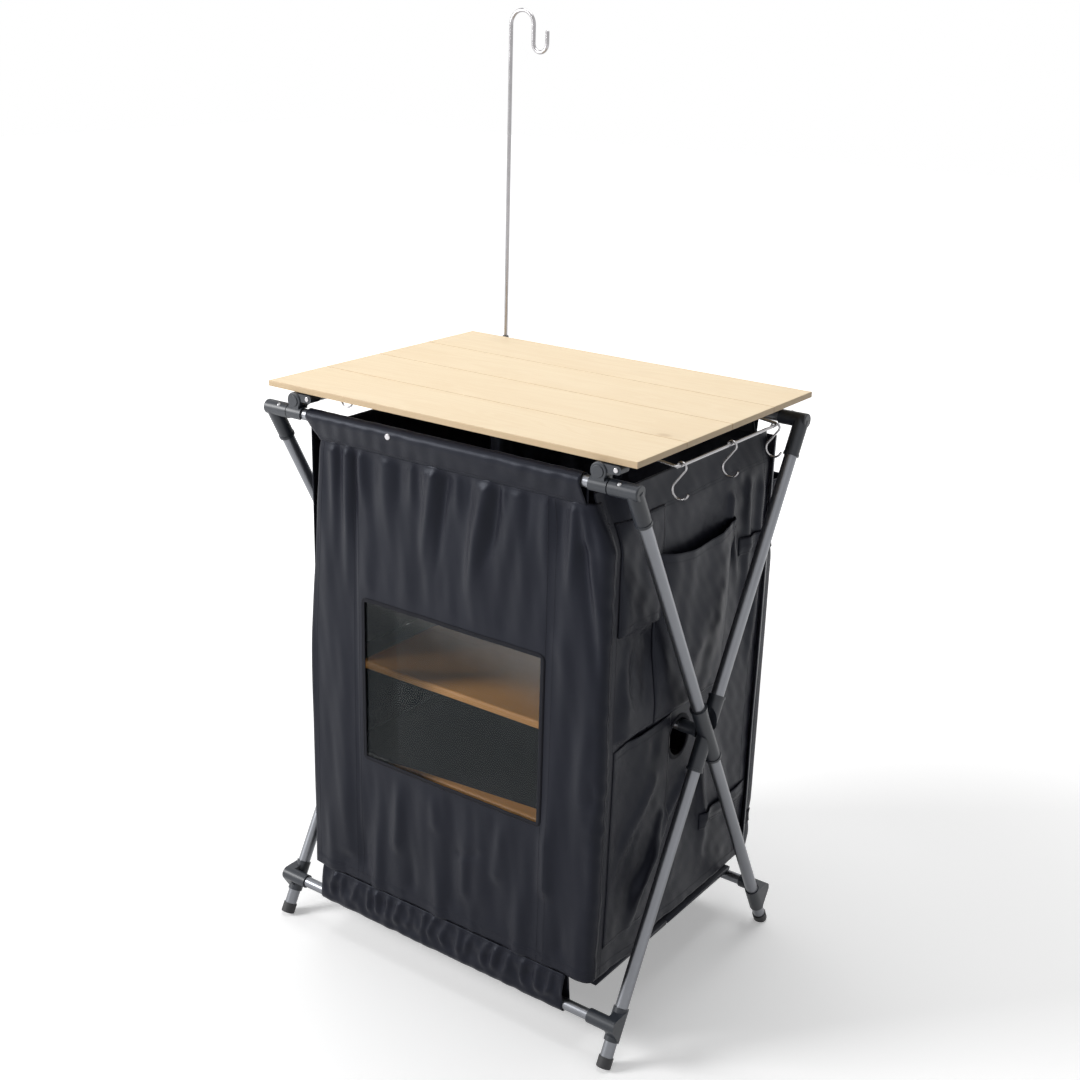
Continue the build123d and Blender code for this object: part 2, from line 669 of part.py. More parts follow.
def fitting():
    """A moulded fitting: a ring on the rail's end, a saddle on the crossbar and a lug with a rivet hole."""
    ring = rod_y(FITTING_R, -FITTING_Y_OUT, -FITTING_Y_IN, 0, RAIL_Z)
    rim = ring.edges().filter_by(GeomType.CIRCLE).sort_by(Axis.Y)[0]
    ring = fillet([rim], CAP_RIM)
    half = CLIP_WIDTH / 2
    saddle = rod_x(CLIP_R, -half, half, -TOP_BAR_Y, TOP_BAR_Z)
    neck_y0, neck_y1 = -TOP_BAR_Y - NECK_FRONT, -TOP_BAR_Y + NECK_BACK
    neck = block(-half + NECK_INSET, half - NECK_INSET, neck_y0, neck_y1, TOP_BAR_Z, RAIL_Z)
    lug = block(0, LUG_REACH, LUG_FACE, LUG_FACE + LUG_Y, RAIL_Z, RAIL_Z + LUG_HEIGHT)
    lug = fillet(lug.edges().filter_by(Axis.Y).group_by(Axis.X)[-1], LUG_ROUND)
    piece = ring + saddle + neck + lug
    piece -= rod_y(RAIL_R + FIT_GAP, -FITTING_Y_OUT + CAP_LIP, 0, 0, RAIL_Z)
    piece -= rod_y(RAIL_R - CAP_LIP_IN, -FITTING_Y_OUT - CUT, 0, 0, RAIL_Z)
    piece -= rod_x(BAR_R + CLIP_GAP, -half - CUT, half + CUT, -TOP_BAR_Y, TOP_BAR_Z)
    at_bar = Pos(0, -TOP_BAR_Y, TOP_BAR_Z)
    inside = at_bar * block(-half - CUT, half + CUT, CLIP_MOUTH, BEYOND, -BEYOND, BAR_R)
    low = at_bar * Rot(CLIP_LIP_DEG, 0, 0) * block(-half - CUT, half + CUT, -BEYOND, BEYOND, -BEYOND, 0)
    piece = piece - inside - low
    piece -= rod_y(RIVET_R + FIT_GAP, -FITTING_Y_OUT - CUT, 0, RIVET_X, RAIL_Z + LUG_Z)
    return max(piece.solids(), key=lambda s: s.volume)


def rivet():
    """The rivet through the lug of a fitting."""
    back = LUG_FACE + LUG_Y
    shank = rod_y(RIVET_R, LUG_FACE - RIVET_INTO, back + RIVET_INTO, RIVET_X, RAIL_Z + LUG_Z)
    head = rod_y(RIVET_HEAD_R, LUG_FACE - RIVET_HEAD, LUG_FACE, RIVET_X, RAIL_Z + LUG_Z)
    head = fillet([head.edges().filter_by(GeomType.CIRCLE).sort_by(Axis.Y)[0]], RIVET_ROUND)
    tail = rod_y(RIVET_TAIL_R, back, back + RIVET_TAIL, RIVET_X, RAIL_Z + LUG_Z)
    return shank + head + tail


def rail_cap():
    """The round cap in the end of a rail."""
    face, seat = -FITTING_Y_OUT - CAP_PROUD, -FITTING_Y_OUT + CAP_DISC
    disc = rod_y(RAIL_R - CAP_LIP_IN - FIT_GAP, face, seat, 0, RAIL_Z)
    disc = fillet([disc.edges().filter_by(GeomType.CIRCLE).sort_by(Axis.Y)[0]], CAP_ROUND)
    plug = rod_y(RAIL_R - RAIL_WALL - FIT_GAP, seat, -FITTING_Y_OUT + CAP_PLUG, 0, RAIL_Z)
    return disc + plug


def four_corners(piece):
    """Copies of a piece made at x = 0 at the front: on both rails, and turned to the back."""
    front = [Pos(x, 0, 0) * piece for x in (RAIL_X, -RAIL_X)]
    back = [Pos(x, 0, 0) * Rot(0, 0, 180) * piece for x in (RAIL_X, -RAIL_X)]
    return front + back


def pole_bracket():
    """The arm on the left rear fitting with the upright socket of the lantern pole."""
    socket = rod_z(SOCKET_POLE_R, SOCKET_BOTTOM, SOCKET_TOP, POLE_X, POLE_Y)
    y0 = FITTING_Y_OUT + BRACKET_GAP
    disc = rod_y(BRACKET_DISC_R, y0, y0 + BRACKET_DISC, -RAIL_X, RAIL_Z)
    arm = block(-RAIL_X - ARM_EDGE, POLE_X, y0, POLE_Y, RAIL_Z - ARM_LOW, RAIL_Z + ARM_HIGH)
    piece = socket + disc + arm
    piece -= rod_z(COLLAR_SKIRT_R + FIT_GAP, SOCKET_TOP - COLLAR_SKIRT, SOCKET_TOP + CUT, POLE_X, POLE_Y)
    piece -= rod_z(POLE_R + FIT_GAP, POLE_BASE, SOCKET_TOP + CUT, POLE_X, POLE_Y)
    return piece


def pole_collar():
    """The dark collar in the mouth of the socket, in which the pole slides."""
    head = rod_z(COLLAR_R, SOCKET_TOP, COLLAR_TOP, POLE_X, POLE_Y)
    head = fillet([head.edges().filter_by(GeomType.CIRCLE).sort_by(Axis.Z)[-1]], COLLAR_ROUND)
    skirt = rod_z(COLLAR_SKIRT_R, SOCKET_TOP - COLLAR_SKIRT + FIT_GAP, SOCKET_TOP, POLE_X, POLE_Y)
    return head + skirt - rod_z(POLE_R + FIT_GAP, POLE_BASE, COLLAR_TOP + CUT, POLE_X, POLE_Y)


def lantern_pole():
    """The pole: one rod bent over at the top into a crook with an open tip."""
    z_bend = POLE_TOP - CROOK_R
    x_down = 2 * CROOK_R
    x_tip = x_down + 2 * CROOK_TIP_R
    z_low = z_bend - CROOK_DROP
    path = Wire(
        [
            Line((0, POLE_BASE), (0, z_bend)),
            ThreePointArc((0, z_bend), (CROOK_R, POLE_TOP), (x_down, z_bend)),
            Line((x_down, z_bend), (x_down, z_low)),
            ThreePointArc((x_down, z_low), ((x_down + x_tip) / 2, z_low - CROOK_TIP_R), (x_tip, z_low)),
            Line((x_tip, z_low), (x_tip, z_low + CROOK_TIP)),
        ]
    )
    upright = Plane(origin=(POLE_X, POLE_Y, 0), x_dir=(1, 0, 0), z_dir=(0, -1, 0))
    path = upright * path
    rod = sweep(Plane(origin=path @ 0, z_dir=path % 0) * Circle(POLE_R), path)
    tip = upright * Pos(x_tip, z_low + CROOK_TIP, 0) * Sphere(POLE_R)
    return rod + tip


def s_hook():
    """A wire hook: a small loop over the rod at the origin and a larger open loop below it."""
    top_z = ROD_R + CLOTH_GAP - (HOOK_TOP_R - HOOK_WIRE_R)
    drop = HOOK_DROP + top_z
    lean = math.asin((HOOK_TOP_R + HOOK_BOTTOM_R) / drop)
    nx, nz = math.cos(lean), -math.sin(lean)

    def at(x, z, radius, degrees):
        angle = math.radians(degrees)
        return (x + radius * math.cos(angle), z + radius * math.sin(angle))

    leave = math.degrees(math.atan2(nz, nx))
    arrive = math.degrees(math.atan2(-nz, -nx))
    end = 360 + HOOK_TIP_DEG
    z2 = -HOOK_DROP
    p1 = (HOOK_TOP_R * nx, top_z + HOOK_TOP_R * nz)
    p2 = (-HOOK_BOTTOM_R * nx, z2 - HOOK_BOTTOM_R * nz)
    small_start = at(0, top_z, HOOK_TOP_R, HOOK_TOP_TIP_DEG)
    small_middle = at(0, top_z, HOOK_TOP_R, (HOOK_TOP_TIP_DEG + leave) / 2)
    big_middle = at(0, z2, HOOK_BOTTOM_R, (arrive + end) / 2)
    big_end = at(0, z2, HOOK_BOTTOM_R, end)
    path = Wire(
        [
            ThreePointArc(small_start, small_middle, p1),
            Line(p1, p2),
            ThreePointArc(p2, big_middle, big_end),
        ]
    )
    path = Plane(origin=(0, 0, 0), x_dir=(1, 0, 0), z_dir=(0, -1, 0)) * path
    return sweep(Plane(origin=path @ 0, z_dir=path % 0) * Circle(HOOK_WIRE_R), path)


def slat(index):
    """One slat of the tabletop, with the bores of its two elastic cords."""
    pitch = (TOP_DEPTH + SLAT_GAP) / SLAT_COUNT
    y0 = -TOP_DEPTH / 2 + TOP_SHIFT_Y + index * pitch
    y1 = y0 + pitch - SLAT_GAP
    board = block(-TOP_WIDTH / 2, TOP_WIDTH / 2, y0, y1, TOP_UNDER, TOP_HEIGHT)
    board = fillet(board.edges().group_by(Axis.Z)[-1], SLAT_EDGE)
    return board - cords(CORD_BORE_R)


def cords(radius):
    """The two cords, or their bores, through all the slats."""
    y0 = -TOP_DEPTH / 2 + TOP_SHIFT_Y + CORD_END
    y1 = TOP_REAR - CORD_END
    middle = TOP_UNDER + TOP_THICKNESS / 2
    return rod_y(radius, y0, y1, CORD_X, middle) + rod_y(radius, y0, y1, -CORD_X, middle)


def middle_bar():
    """The middle crossbar on the pivot axis."""
    bar = rod_x(BAR_R, -BAR_END_X, BAR_END_X, 0, PIVOT_Z)
    return bar - rod_x(BAR_R - TUBE_WALL, -BAR_END_X - CUT, BAR_END_X + CUT, 0, PIVOT_Z)


def hub_plug():
    """The moulded plug on the right end of the middle crossbar."""
    body = rod_x(PLUG_R, BAR_END_X, PLUG_END_X, 0, PIVOT_Z)
    rim = rod_x(PLUG_RIM_R, PLUG_END_X - PLUG_RIM_LENGTH, PLUG_END_X, 0, PIVOT_Z)
    spigot = rod_x(BAR_R - TUBE_WALL - FIT_GAP, BAR_END_X - PLUG_SPIGOT, BAR_END_X, 0, PIVOT_Z)
    bore = rod_x(PIN_R + FIT_GAP, PLUG_END_X - PIN_SEAT * 2 - FIT_GAP, PLUG_END_X + CUT, 0, PIVOT_Z)
    return body + rim + spigot - bore


def pivot_pin():
    """The steel pin of the right pivot, from the hub plug through both sleeves."""
    return rod_x(PIN_R, PLUG_END_X - PIN_SEAT * 2, LEG_X + PIN_SEAT - CLOTH_GAP, 0, PIVOT_Z)


def build_frame(names, turned, keep_outer):
    """Write the pieces of one crossed frame, as made or turned to the other side."""
    place = behind if turned else (lambda solid: solid)

    def pair(solid):
        right = place(solid)
        return right, left_of(right)

    save(names["top_bar"], place(top_bar()))
    save(names["connectors"], *pair(corner_connector()))
    save(names["legs"], *pair(upper_leg()), *pair(lower_leg()))
    save(names["sleeves"], *pair(pivot_sleeve(keep_outer)))
    save(names["tees"], *pair(bottom_tee()))
    save(names["feet"], *pair(foot()))
    save(names["bottom_bar"], place(bottom_bar()))
    right, left = pair(spring_button())
    save(names["button"] + "_right", right)
    save(names["button"] + "_left", left)


def build_frames():
    """Write both crossed frames and the middle crossbar between them."""
    kinds = ("top_bar", "connectors", "legs", "sleeves", "tees", "feet", "bottom_bar", "button")
    frame_a = {kind: "frame_a_" + kind for kind in kinds}
    frame_b = {kind: "frame_b_" + kind for kind in kinds}
    build_frame(frame_a, False, True)
    build_frame(frame_b, True, False)
    save("middle_bar", middle_bar())
    save("hub_plugs", hub_plug(), left_of(hub_plug()))
    save("pivot_pins", pivot_pin(), left_of(pivot_pin()))


def build_cloth():
    """Write the fabric body: curtains, window, sleeves, side panels, pockets and pouch."""
    save("front_band", curtain_band())
    save("snap_stud", snap_stud())
    save("front_panel", front_panel())
    save("window_binding", window_binding())
    save("window_film", window_film())
    save("rear_band", behind(curtain_band()))
    save("rear_panel", behind(curtain_panel()))
    save("rear_pouch", rear_pouch())
    save("pouch_straps", *[pouch_strap(z) for z in STRAP_HEIGHTS])
    save("front_low_sleeve", low_sleeve())
    save("rear_low_sleeve", behind(low_sleeve()))
    save("side_panel_right", side_panel(SIDE_RIGHT, 1))
    save("side_panel_left", side_panel(SIDE_LEFT, -1))
    save("side_pockets", pocket(UPPER_POCKET, UPPER_SAG), pocket(LOWER_POCKET, LOWER_SAG))


def build_shelves():
    """Write the halves of the two shelves and of the floor board."""
    shelves = {
        "upper_shelf": (SHELF_HALF_Y, UPPER_SHELF_UNDER, UPPER_SHELF_UNDER + UPPER_SHELF_T),
        "lower_shelf": (SHELF_HALF_Y, LOWER_SHELF_TOP - LOWER_SHELF_T, LOWER_SHELF_TOP),
        "floor_board": (FLOOR_HALF_Y, FLOOR_Z, FLOOR_Z + FLOOR_T),
    }
    for name, (depth, z0, z1) in shelves.items():
        half = shelf_half(depth, z0, z1)
        save(name + "_rear", half)
        save(name + "_front", behind(half))


def build_rack():
    """Write the rack, its hooks, the pole and the tabletop."""
    save("rails", rail(), left_of(rail()))
    save("rail_fittings", *four_corners(fitting()))
    save("fitting_rivets", *four_corners(rivet()))
    save("rail_caps", *four_corners(rail_cap()))
    save("hanging_rods", hanging_rod(), left_of(hanging_rod()))
    hook = s_hook()
    for number, y in enumerate(HOOKS_RIGHT_Y, start=1):
        save(f"hook_right_{number}", Pos(ROD_X, y, ROD_Z) * hook)
    for number, y in enumerate(HOOKS_LEFT_Y, start=1):
        save(f"hook_left_{number}", Pos(-ROD_X, y, ROD_Z) * left_of(hook))
    save("pole_bracket", pole_bracket())
    save("pole_collar", pole_collar())
    save("lantern_pole", lantern_pole())
    for index in range(SLAT_COUNT):
        save(f"slat_{index + 1}", slat(index))
    save("slat_cords", cords(CORD_R))


def main():
    """Write every node of the cupboard to the parts folder."""
    os.makedirs("parts", exist_ok=True)
    build_frames()
    build_cloth()
    build_shelves()
    build_rack()
    print(f"lean {LEAN:.3f} pivot z {PIVOT_Z:.3f} leg x {LEG_X:.2f} tee bar y {TEE_BAR_Y:.2f}")
    print(f"rail z {RAIL_Z:.2f} top bar z {TOP_BAR_Z:.2f} rod x {ROD_X:.2f} z {ROD_Z:.2f}")


main()
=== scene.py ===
"""Looks of the folding camping cupboard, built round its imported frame.

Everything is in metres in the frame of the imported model: the origin on the floor under the middle of the
crossed frame, +X to the right, +Y to the back, +Z up. Cloth is a surface of two parameters, a across and
b down its cut, given its thickness and rims by one routine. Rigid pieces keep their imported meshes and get
finishes made here.
"""

from __future__ import annotations

import json
import logging
import math
from dataclasses import dataclass, field
from enum import Enum
from typing import Callable, Mapping, Sequence

import bpy
import numpy as np
from mathutils import Matrix, Vector

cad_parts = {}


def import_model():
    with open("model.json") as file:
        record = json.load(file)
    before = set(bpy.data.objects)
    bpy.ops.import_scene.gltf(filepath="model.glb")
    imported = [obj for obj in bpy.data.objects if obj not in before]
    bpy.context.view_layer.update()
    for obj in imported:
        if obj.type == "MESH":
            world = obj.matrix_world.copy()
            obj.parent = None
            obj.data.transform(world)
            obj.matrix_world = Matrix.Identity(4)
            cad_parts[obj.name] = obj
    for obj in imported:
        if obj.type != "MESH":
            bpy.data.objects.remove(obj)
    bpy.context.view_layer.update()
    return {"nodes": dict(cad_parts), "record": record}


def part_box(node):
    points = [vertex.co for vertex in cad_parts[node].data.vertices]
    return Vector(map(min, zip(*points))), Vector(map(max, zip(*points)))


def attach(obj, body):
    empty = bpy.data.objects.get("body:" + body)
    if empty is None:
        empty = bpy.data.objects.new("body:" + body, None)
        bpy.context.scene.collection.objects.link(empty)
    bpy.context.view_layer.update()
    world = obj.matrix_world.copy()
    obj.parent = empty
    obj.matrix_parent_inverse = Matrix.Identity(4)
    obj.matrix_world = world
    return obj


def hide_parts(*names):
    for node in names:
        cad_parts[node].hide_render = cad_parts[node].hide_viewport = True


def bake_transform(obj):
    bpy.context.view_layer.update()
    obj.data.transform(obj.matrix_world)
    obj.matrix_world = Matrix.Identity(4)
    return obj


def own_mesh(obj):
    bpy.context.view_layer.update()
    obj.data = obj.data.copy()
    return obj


Array = np.ndarray
Pair = tuple[float, float]
Triple = tuple[float, float, float]
Material = bpy.types.Material
Piece = bpy.types.Object
log = logging.getLogger("cupboard")

# Places shared by several sub-assemblies
PIVOT_Z = 0.414323
TOP_BAR_Y = 0.215
TOP_BAR_Z = 0.812
LOW_BAR_Y = 0.21059
LOW_BAR_Z = 0.0637
PANEL_Y = 0.212

# Thread, tape and the fineness of what is sewn
STITCH_PITCH = 0.0036
STITCH_HALF_WIDTH = 0.00032
STITCH_HEIGHT = 0.00038
TAPE_PITCH = 0.004
TAPE_THICKNESS = 0.0010
SEAM_STEP = 0.006

# Steps over which slopes are taken: of an outline, and of a cloth
OUTLINE_STEP = 1e-5
CLOTH_STEP = 2e-4


class Side(Enum):
    """The two sides of the cupboard, as the sign of X."""

    LEFT = -1
    RIGHT = 1


class End(Enum):
    """The front and the back, as the sign of Y."""

    FRONT = -1
    REAR = 1


# Numbers and grids


def smoothstep(low: float, high: float, value: Array) -> Array:
    """Rise from 0 at low to 1 at high as 3t^2 - 2t^3."""
    t = np.clip((value - low) / (high - low), 0.0, 1.0)
    return t * t * (3.0 - 2.0 * t)


def bump(centre: float, width: float, value: Array) -> Array:
    """A bell round centre: exp of minus the squared distance in widths."""
    return np.exp(-(((value - centre) / width) ** 2))


def spaced(start: float, stop: float, step: float) -> Array:
    """Evenly spaced values from start to stop, about step apart."""
    return np.linspace(start, stop, max(2, int(round(abs(stop - start) / step)) + 1))


def unit(vectors: Array) -> Array:
    """Vectors made one long."""
    return vectors / np.maximum(np.linalg.norm(vectors, axis=-1, keepdims=True), 1e-12)


def run_along(line: Array) -> Array:
    """The distance run along a line of points, from its start to each of them."""
    return np.concatenate([[0.0], np.cumsum(np.linalg.norm(np.diff(line, axis=0), axis=1))])


def grid_of(first: Array, second: Array) -> Array:
    """Each value of the first list with each of the second, as rows and columns of pairs."""
    return np.stack(np.meshgrid(first, second, indexing="ij"), axis=-1)


def ripple(a: Array, b: Array, seed: int, length: float, stretch: float = 1.0, waves: int = 7) -> Array:
    """Soft random waves between about -1 and 1: a sum of plane waves of seeded direction, length and phase.

    Args:
        a: Distance across.
        b: Distance down.
        seed: Seed of the waves.
        length: Mean wavelength across.
        stretch: How many times longer the waves are down than across.
        waves: Number of waves.

    Returns:
        The height at each place.
    """
    rng = np.random.default_rng(seed)
    total = np.zeros(np.broadcast(a, b).shape)
    for _ in range(waves):
        turn = rng.uniform(0.0, 2.0 * math.pi)
        count = 2.0 * math.pi / (length * rng.uniform(0.6, 1.7))
        phase = rng.uniform(0.0, 2.0 * math.pi)
        total = total + np.sin(count * (a * math.cos(turn) + b * math.sin(turn) / stretch) + phase)
    return total / math.sqrt(waves * 2.0)


@dataclass(frozen=True)
class Fold:
    """A ridge in a cloth along a line of places; a negative height is a groove.

    Its height is a bell of the distance from the line. It is full at the line's start and dies away
    smoothly over the last part of the line; rise is the share of the line over which it first grows.
    """

    line: tuple[Pair, ...]
    width: float
    height: float
    rise: float = 0.0
    hold: float = 0.35

    def lift(self, a: Array, b: Array) -> Array:
        """Height of the ridge: a bell of the distance from the nearest part of its line.

        Args:
            a: Distance across.
            b: Distance down.

        Returns:
            The height at each place.
        """
        starts, ends = np.array(self.line[:-1]), np.array(self.line[1:])
        lengths = np.hypot(*(ends - starts).T)
        nearest = np.full(np.broadcast(a, b).shape, np.inf)
        along = np.zeros_like(nearest)
        run = 0.0
        for start, end, length in zip(starts, ends, lengths):
            da, db = end - start
            t = np.clip(((a - start[0]) * da + (b - start[1]) * db) / length**2, 0.0, 1.0)
            gap = np.hypot(a - start[0] - t * da, b - start[1] - t * db)
            closer = gap < nearest
            nearest = np.where(closer, gap, nearest)
            along = np.where(closer, (run + t * length) / lengths.sum(), along)
            run += length
        fade = 1.0 - smoothstep(self.hold, 1.0, along)
        if self.rise > 0:
            fade = fade * smoothstep(0.0, self.rise, along)
        return self.height * np.exp(-((nearest / self.width) ** 2)) * fade


def folds_lift(folds: Sequence[Fold], a: Array, b: Array) -> Array:
    """The heights of several folds added up."""
    return sum((fold.lift(a, b) for fold in folds), np.zeros(np.broadcast(a, b).shape))


# Meshes


@dataclass
class Mesh:
    """Points, faces and flat coordinates of a piece in the making."""

    points: Array
    faces: list[Array]
    flat: list[Array]

    def make(self, name: str) -> Piece:
        """Put the mesh into the scene under a name, shaded smooth, with its flat coordinates as a UV map.

        Args:
            name: Name of the piece.

        Returns:
            The new object, at the origin.
        """
        mesh = bpy.data.meshes.new(name)
        counts = np.concatenate([np.full(len(f), f.shape[1]) for f in self.faces])
        corners = np.concatenate([f.ravel() for f in self.faces]).astype(np.int32)
        mesh.vertices.add(len(self.points))
        mesh.vertices.foreach_set("co", self.points.astype(np.float32).ravel())
        mesh.loops.add(len(corners))
        mesh.loops.foreach_set("vertex_index", corners)
        mesh.polygons.add(len(counts))
        starts = np.concatenate([[0], np.cumsum(counts)[:-1]]).astype(np.int32)
        mesh.polygons.foreach_set("loop_start", starts)
        mesh.polygons.foreach_set("use_smooth", np.ones(len(counts), bool))
        layer = mesh.uv_layers.new(name="cut")
        layer.data.foreach_set("uv", np.concatenate([f.reshape(-1) for f in self.flat]).astype(np.float32))
        mesh.update(calc_edges=True)
        mesh.validate()
        piece = bpy.data.objects.new(name, mesh)
        bpy.context.scene.collection.objects.link(piece)
        return piece


def together(*meshes: Mesh) -> Mesh:
    """Several meshes as one."""
    shifts = np.cumsum([0, *(len(mesh.points) for mesh in meshes[:-1])])
    faces = [corners + shift for mesh, shift in zip(meshes, shifts) for corners in mesh.faces]
    return Mesh(np.vstack([mesh.points for mesh in meshes]), faces, [flat for mesh in meshes for flat in mesh.flat])


def quads_of(rows: int, cols: int, ring: bool) -> tuple[Array, Array]:
    """Corner numbers of the quads of a grid.

    Args:
        rows: Rows of points.
        cols: Columns of points.
        ring: Whether the last column joins the first.

    Returns:
        The quads as point numbers, and as numbers into a grid that has one column more when it is a ring.
    """
    wide = cols + 1 if ring else cols
    i, j = np.meshgrid(np.arange(rows - 1), np.arange(wide - 1), indexing="ij")
    i, j = i.ravel(), j.ravel()
    k = (j + 1) % cols
    quads = np.stack([i * cols + j, (i + 1) * cols + j, (i + 1) * cols + k, i * cols + k], axis=1)
    flat = np.stack([i * wide + j, (i + 1) * wide + j, (i + 1) * wide + j + 1, i * wide + j + 1], axis=1)
    return quads, flat


def point_normals(points: Array, quads: Array) -> Array:
    """Unit normals of the points: the sum of the cross products of the diagonals of the quads round each.

    Args:
        points: Points of the sheet.
        quads: Its quads.

    Returns:
        A normal for each point.
    """
    across = points[quads[:, 2]] - points[quads[:, 0]]
    down = points[quads[:, 3]] - points[quads[:, 1]]
    cross = np.cross(across, down)
    total = np.zeros_like(points)
    for corner in range(4):
        np.add.at(total, quads[:, corner], cross)
    return unit(total)


def edges_of(quads: Array, count: int) -> tuple[Array, Array, Array]:
    """The edges of the quads of a sheet.

    Args:
        quads: The quads.
        count: Number of points of the sheet.

    Returns:
        The first and the last point of each edge, and whether it has a quad on one side only.
    """
    begin, finish = quads.ravel(), np.roll(quads, -1, axis=1).ravel()
    return begin, finish, ~np.isin(begin * count + finish, finish * count + begin)


def thick_sheet(points: Array, quads: Array, flat: Array, thickness: float) -> Mesh:
    """A closed shell: the sheet moved half its thickness both ways along its normals, and a rim between.

    Args:
        points: Points of the sheet.
        quads: Its quads.
        flat: Flat coordinates of each corner of each quad.
        thickness: Thickness of the cloth.

    Returns:
        The closed mesh.
    """
    used, packed = np.unique(quads, return_inverse=True)
    points, quads = points[used], packed.reshape(quads.shape)
    normals = point_normals(points, quads)
    count = len(points)
    both = np.vstack([points + normals * thickness / 2, points - normals * thickness / 2])
    begin, finish, rim_edge = edges_of(quads, count)
    a, b = begin[rim_edge], finish[rim_edge]
    rim = np.stack([b, a, a + count, b + count], axis=1)
    flat_a = flat.reshape(-1, 2)[rim_edge]
    flat_b = np.roll(flat, -1, axis=1).reshape(-1, 2)[rim_edge]
    rim_flat = np.stack([flat_b, flat_a, flat_a, flat_b], axis=1)
    faces = np.vstack([quads, quads[:, ::-1] + count, rim])
    return Mesh(both, [faces], [np.concatenate([flat, flat[:, ::-1], rim_flat])])


def carried(points: Array, cut: Array) -> Mesh:
    """A closed solid: rings of points joined one to the next, with a flat face at each end.

    Args:
        points: Points, by ring and by place round it.
        cut: Flat coordinates of the same, with one place more round each ring.

    Returns:
        The closed mesh.
    """
    rings, sides = points.shape[:2]
    quads, flat = quads_of(rings, sides, True)
    end, blank = np.arange(sides)[None], np.zeros((1, sides, 2))
    faces = [quads[:, ::-1], end[:, ::-1], end + (rings - 1) * sides]
    return Mesh(points.reshape(-1, 3), faces, [cut.reshape(-1, 2)[flat][:, ::-1], blank, blank])


def tube(path: Array, radius: float, sides: int = 10) -> Mesh:
    """A round tube along a path: circles square to it, turned as little as possible.

    Args:
        path: Points of the path.
        radius: Radius of the tube.
        sides: Sides of the circles.

    Returns:
        The closed mesh, with flat ends.
    """
    ahead = unit(np.gradient(path, axis=0))
    least = np.eye(3)[np.argmin(np.abs(ahead).max(axis=0))]
    first = unit(np.cross(ahead, least))
    second = np.cross(ahead, first)
    turn = np.linspace(0, 2 * math.pi, sides, endpoint=False)[:, None]
    ring = first[:, None] * np.cos(turn) + second[:, None] * np.sin(turn)
    around = np.linspace(0, 2 * math.pi * radius, sides + 1)
    return carried(path[:, None] + ring * radius, grid_of(run_along(path), around))


def resampled(pitch: float, line: Array, *others: Array) -> list[Array]:
    """Values at an even pitch along a line of points.

    Args:
        pitch: Distance between places.
        line: Points of the line.
        others: Values given at the line's points.

    Returns:
        The points at the places, and the other values there.
    """
    run = run_along(line)
    count = max(2, int(run[-1] / pitch))
    at = (np.arange(count) + 0.5) * run[-1] / count
    return [np.stack([np.interp(at, run, part) for part in values.T], axis=1) for values in (line, *others)]


def stitch_mesh(line: Array, outward: Array) -> Mesh:
    """A row of thread stitches along a line: at each place one small six-pointed bead, long along the line.

    Args:
        line: Points of the seam, on the cloth.
        outward: Outward direction at each point of the line.

    Returns:
        The beads as one mesh.
    """
    places, ways = resampled(STITCH_PITCH, line, outward)
    ways, ahead = unit(ways), unit(np.gradient(places, axis=0))
    aside = np.cross(ways, ahead)
    half = STITCH_PITCH * 0.36
    square = ((1, 0), (0, 1), (-1, 0), (0, -1))
    girdles = [
        (end * half * 0.6, STITCH_HALF_WIDTH * c, STITCH_HEIGHT * s) for end in (-1, 1) for c, s in square
    ]
    shape = np.array([(-half, 0, 0), (half, 0, 0), *girdles])
    points = sum(way[:, None] * shape[None, :, [k]] for k, way in enumerate((ahead, aside, ways)))
    points = (places[:, None] + points).reshape(-1, 3)
    turn = [(2 + k, 2 + (k + 1) % 4) for k in range(4)]
    sides = np.array([(near, near + 4, after + 4, after) for near, after in turn])[:, ::-1]
    tips = np.array([(0, near, after) for near, after in turn] + [(1, after + 4, near + 4) for near, after in turn])
    shift = (np.arange(len(places)) * len(shape))[:, None, None]
    quads = (sides[None] + shift).reshape(-1, 4)
    threes = (tips[None, :, ::-1] + shift).reshape(-1, 3)
    return Mesh(points, [quads, threes], [np.zeros((len(quads), 4, 2)), np.zeros((len(threes), 3, 2))])


@dataclass(frozen=True)
class Outline:
    """A closed outline in a cloth's cut, given by the signed distance from it, negative inside."""

    centre: Pair

    def gap(self, a: Array, b: Array) -> Array:
        """Signed distance from the outline."""
        raise NotImplementedError

    def loop(self, pitch: float) -> tuple[Array, Array, Array, Array]:
        """Points at an even pitch along the outline, and the outward direction at each.

        Rays from the centre are followed until the distance is nothing, then resampled evenly.

        Args:
            pitch: Distance between points.

        Returns:
            Across, down, and the two parts of the outward direction.
        """
        rays, halvings = 1441, 24
        turn = np.linspace(0, 2 * math.pi, rays)
        ray_a, ray_b = np.cos(turn), -np.sin(turn)
        low, high = np.zeros_like(turn), np.ones_like(turn)
        for _ in range(halvings):
            middle = (low + high) / 2
            inside = self.gap(self.centre[0] + ray_a * middle, self.centre[1] + ray_b * middle) < 0
            low, high = np.where(inside, middle, low), np.where(inside, high, middle)
        a, b = self.centre[0] + ray_a * low, self.centre[1] + ray_b * low
        run = run_along(np.stack([a, b], axis=1))
        at = np.linspace(0.0, run[-1], int(run[-1] / pitch), endpoint=False)
        a, b = np.interp(at, run, a), np.interp(at, run, b)
        step = OUTLINE_STEP
        out_a = (self.gap(a + step, b) - self.gap(a - step, b)) / (2 * step)
        out_b = (self.gap(a, b + step) - self.gap(a, b - step)) / (2 * step)
        size = np.hypot(out_a, out_b)
        return a, b, out_a / size, out_b / size


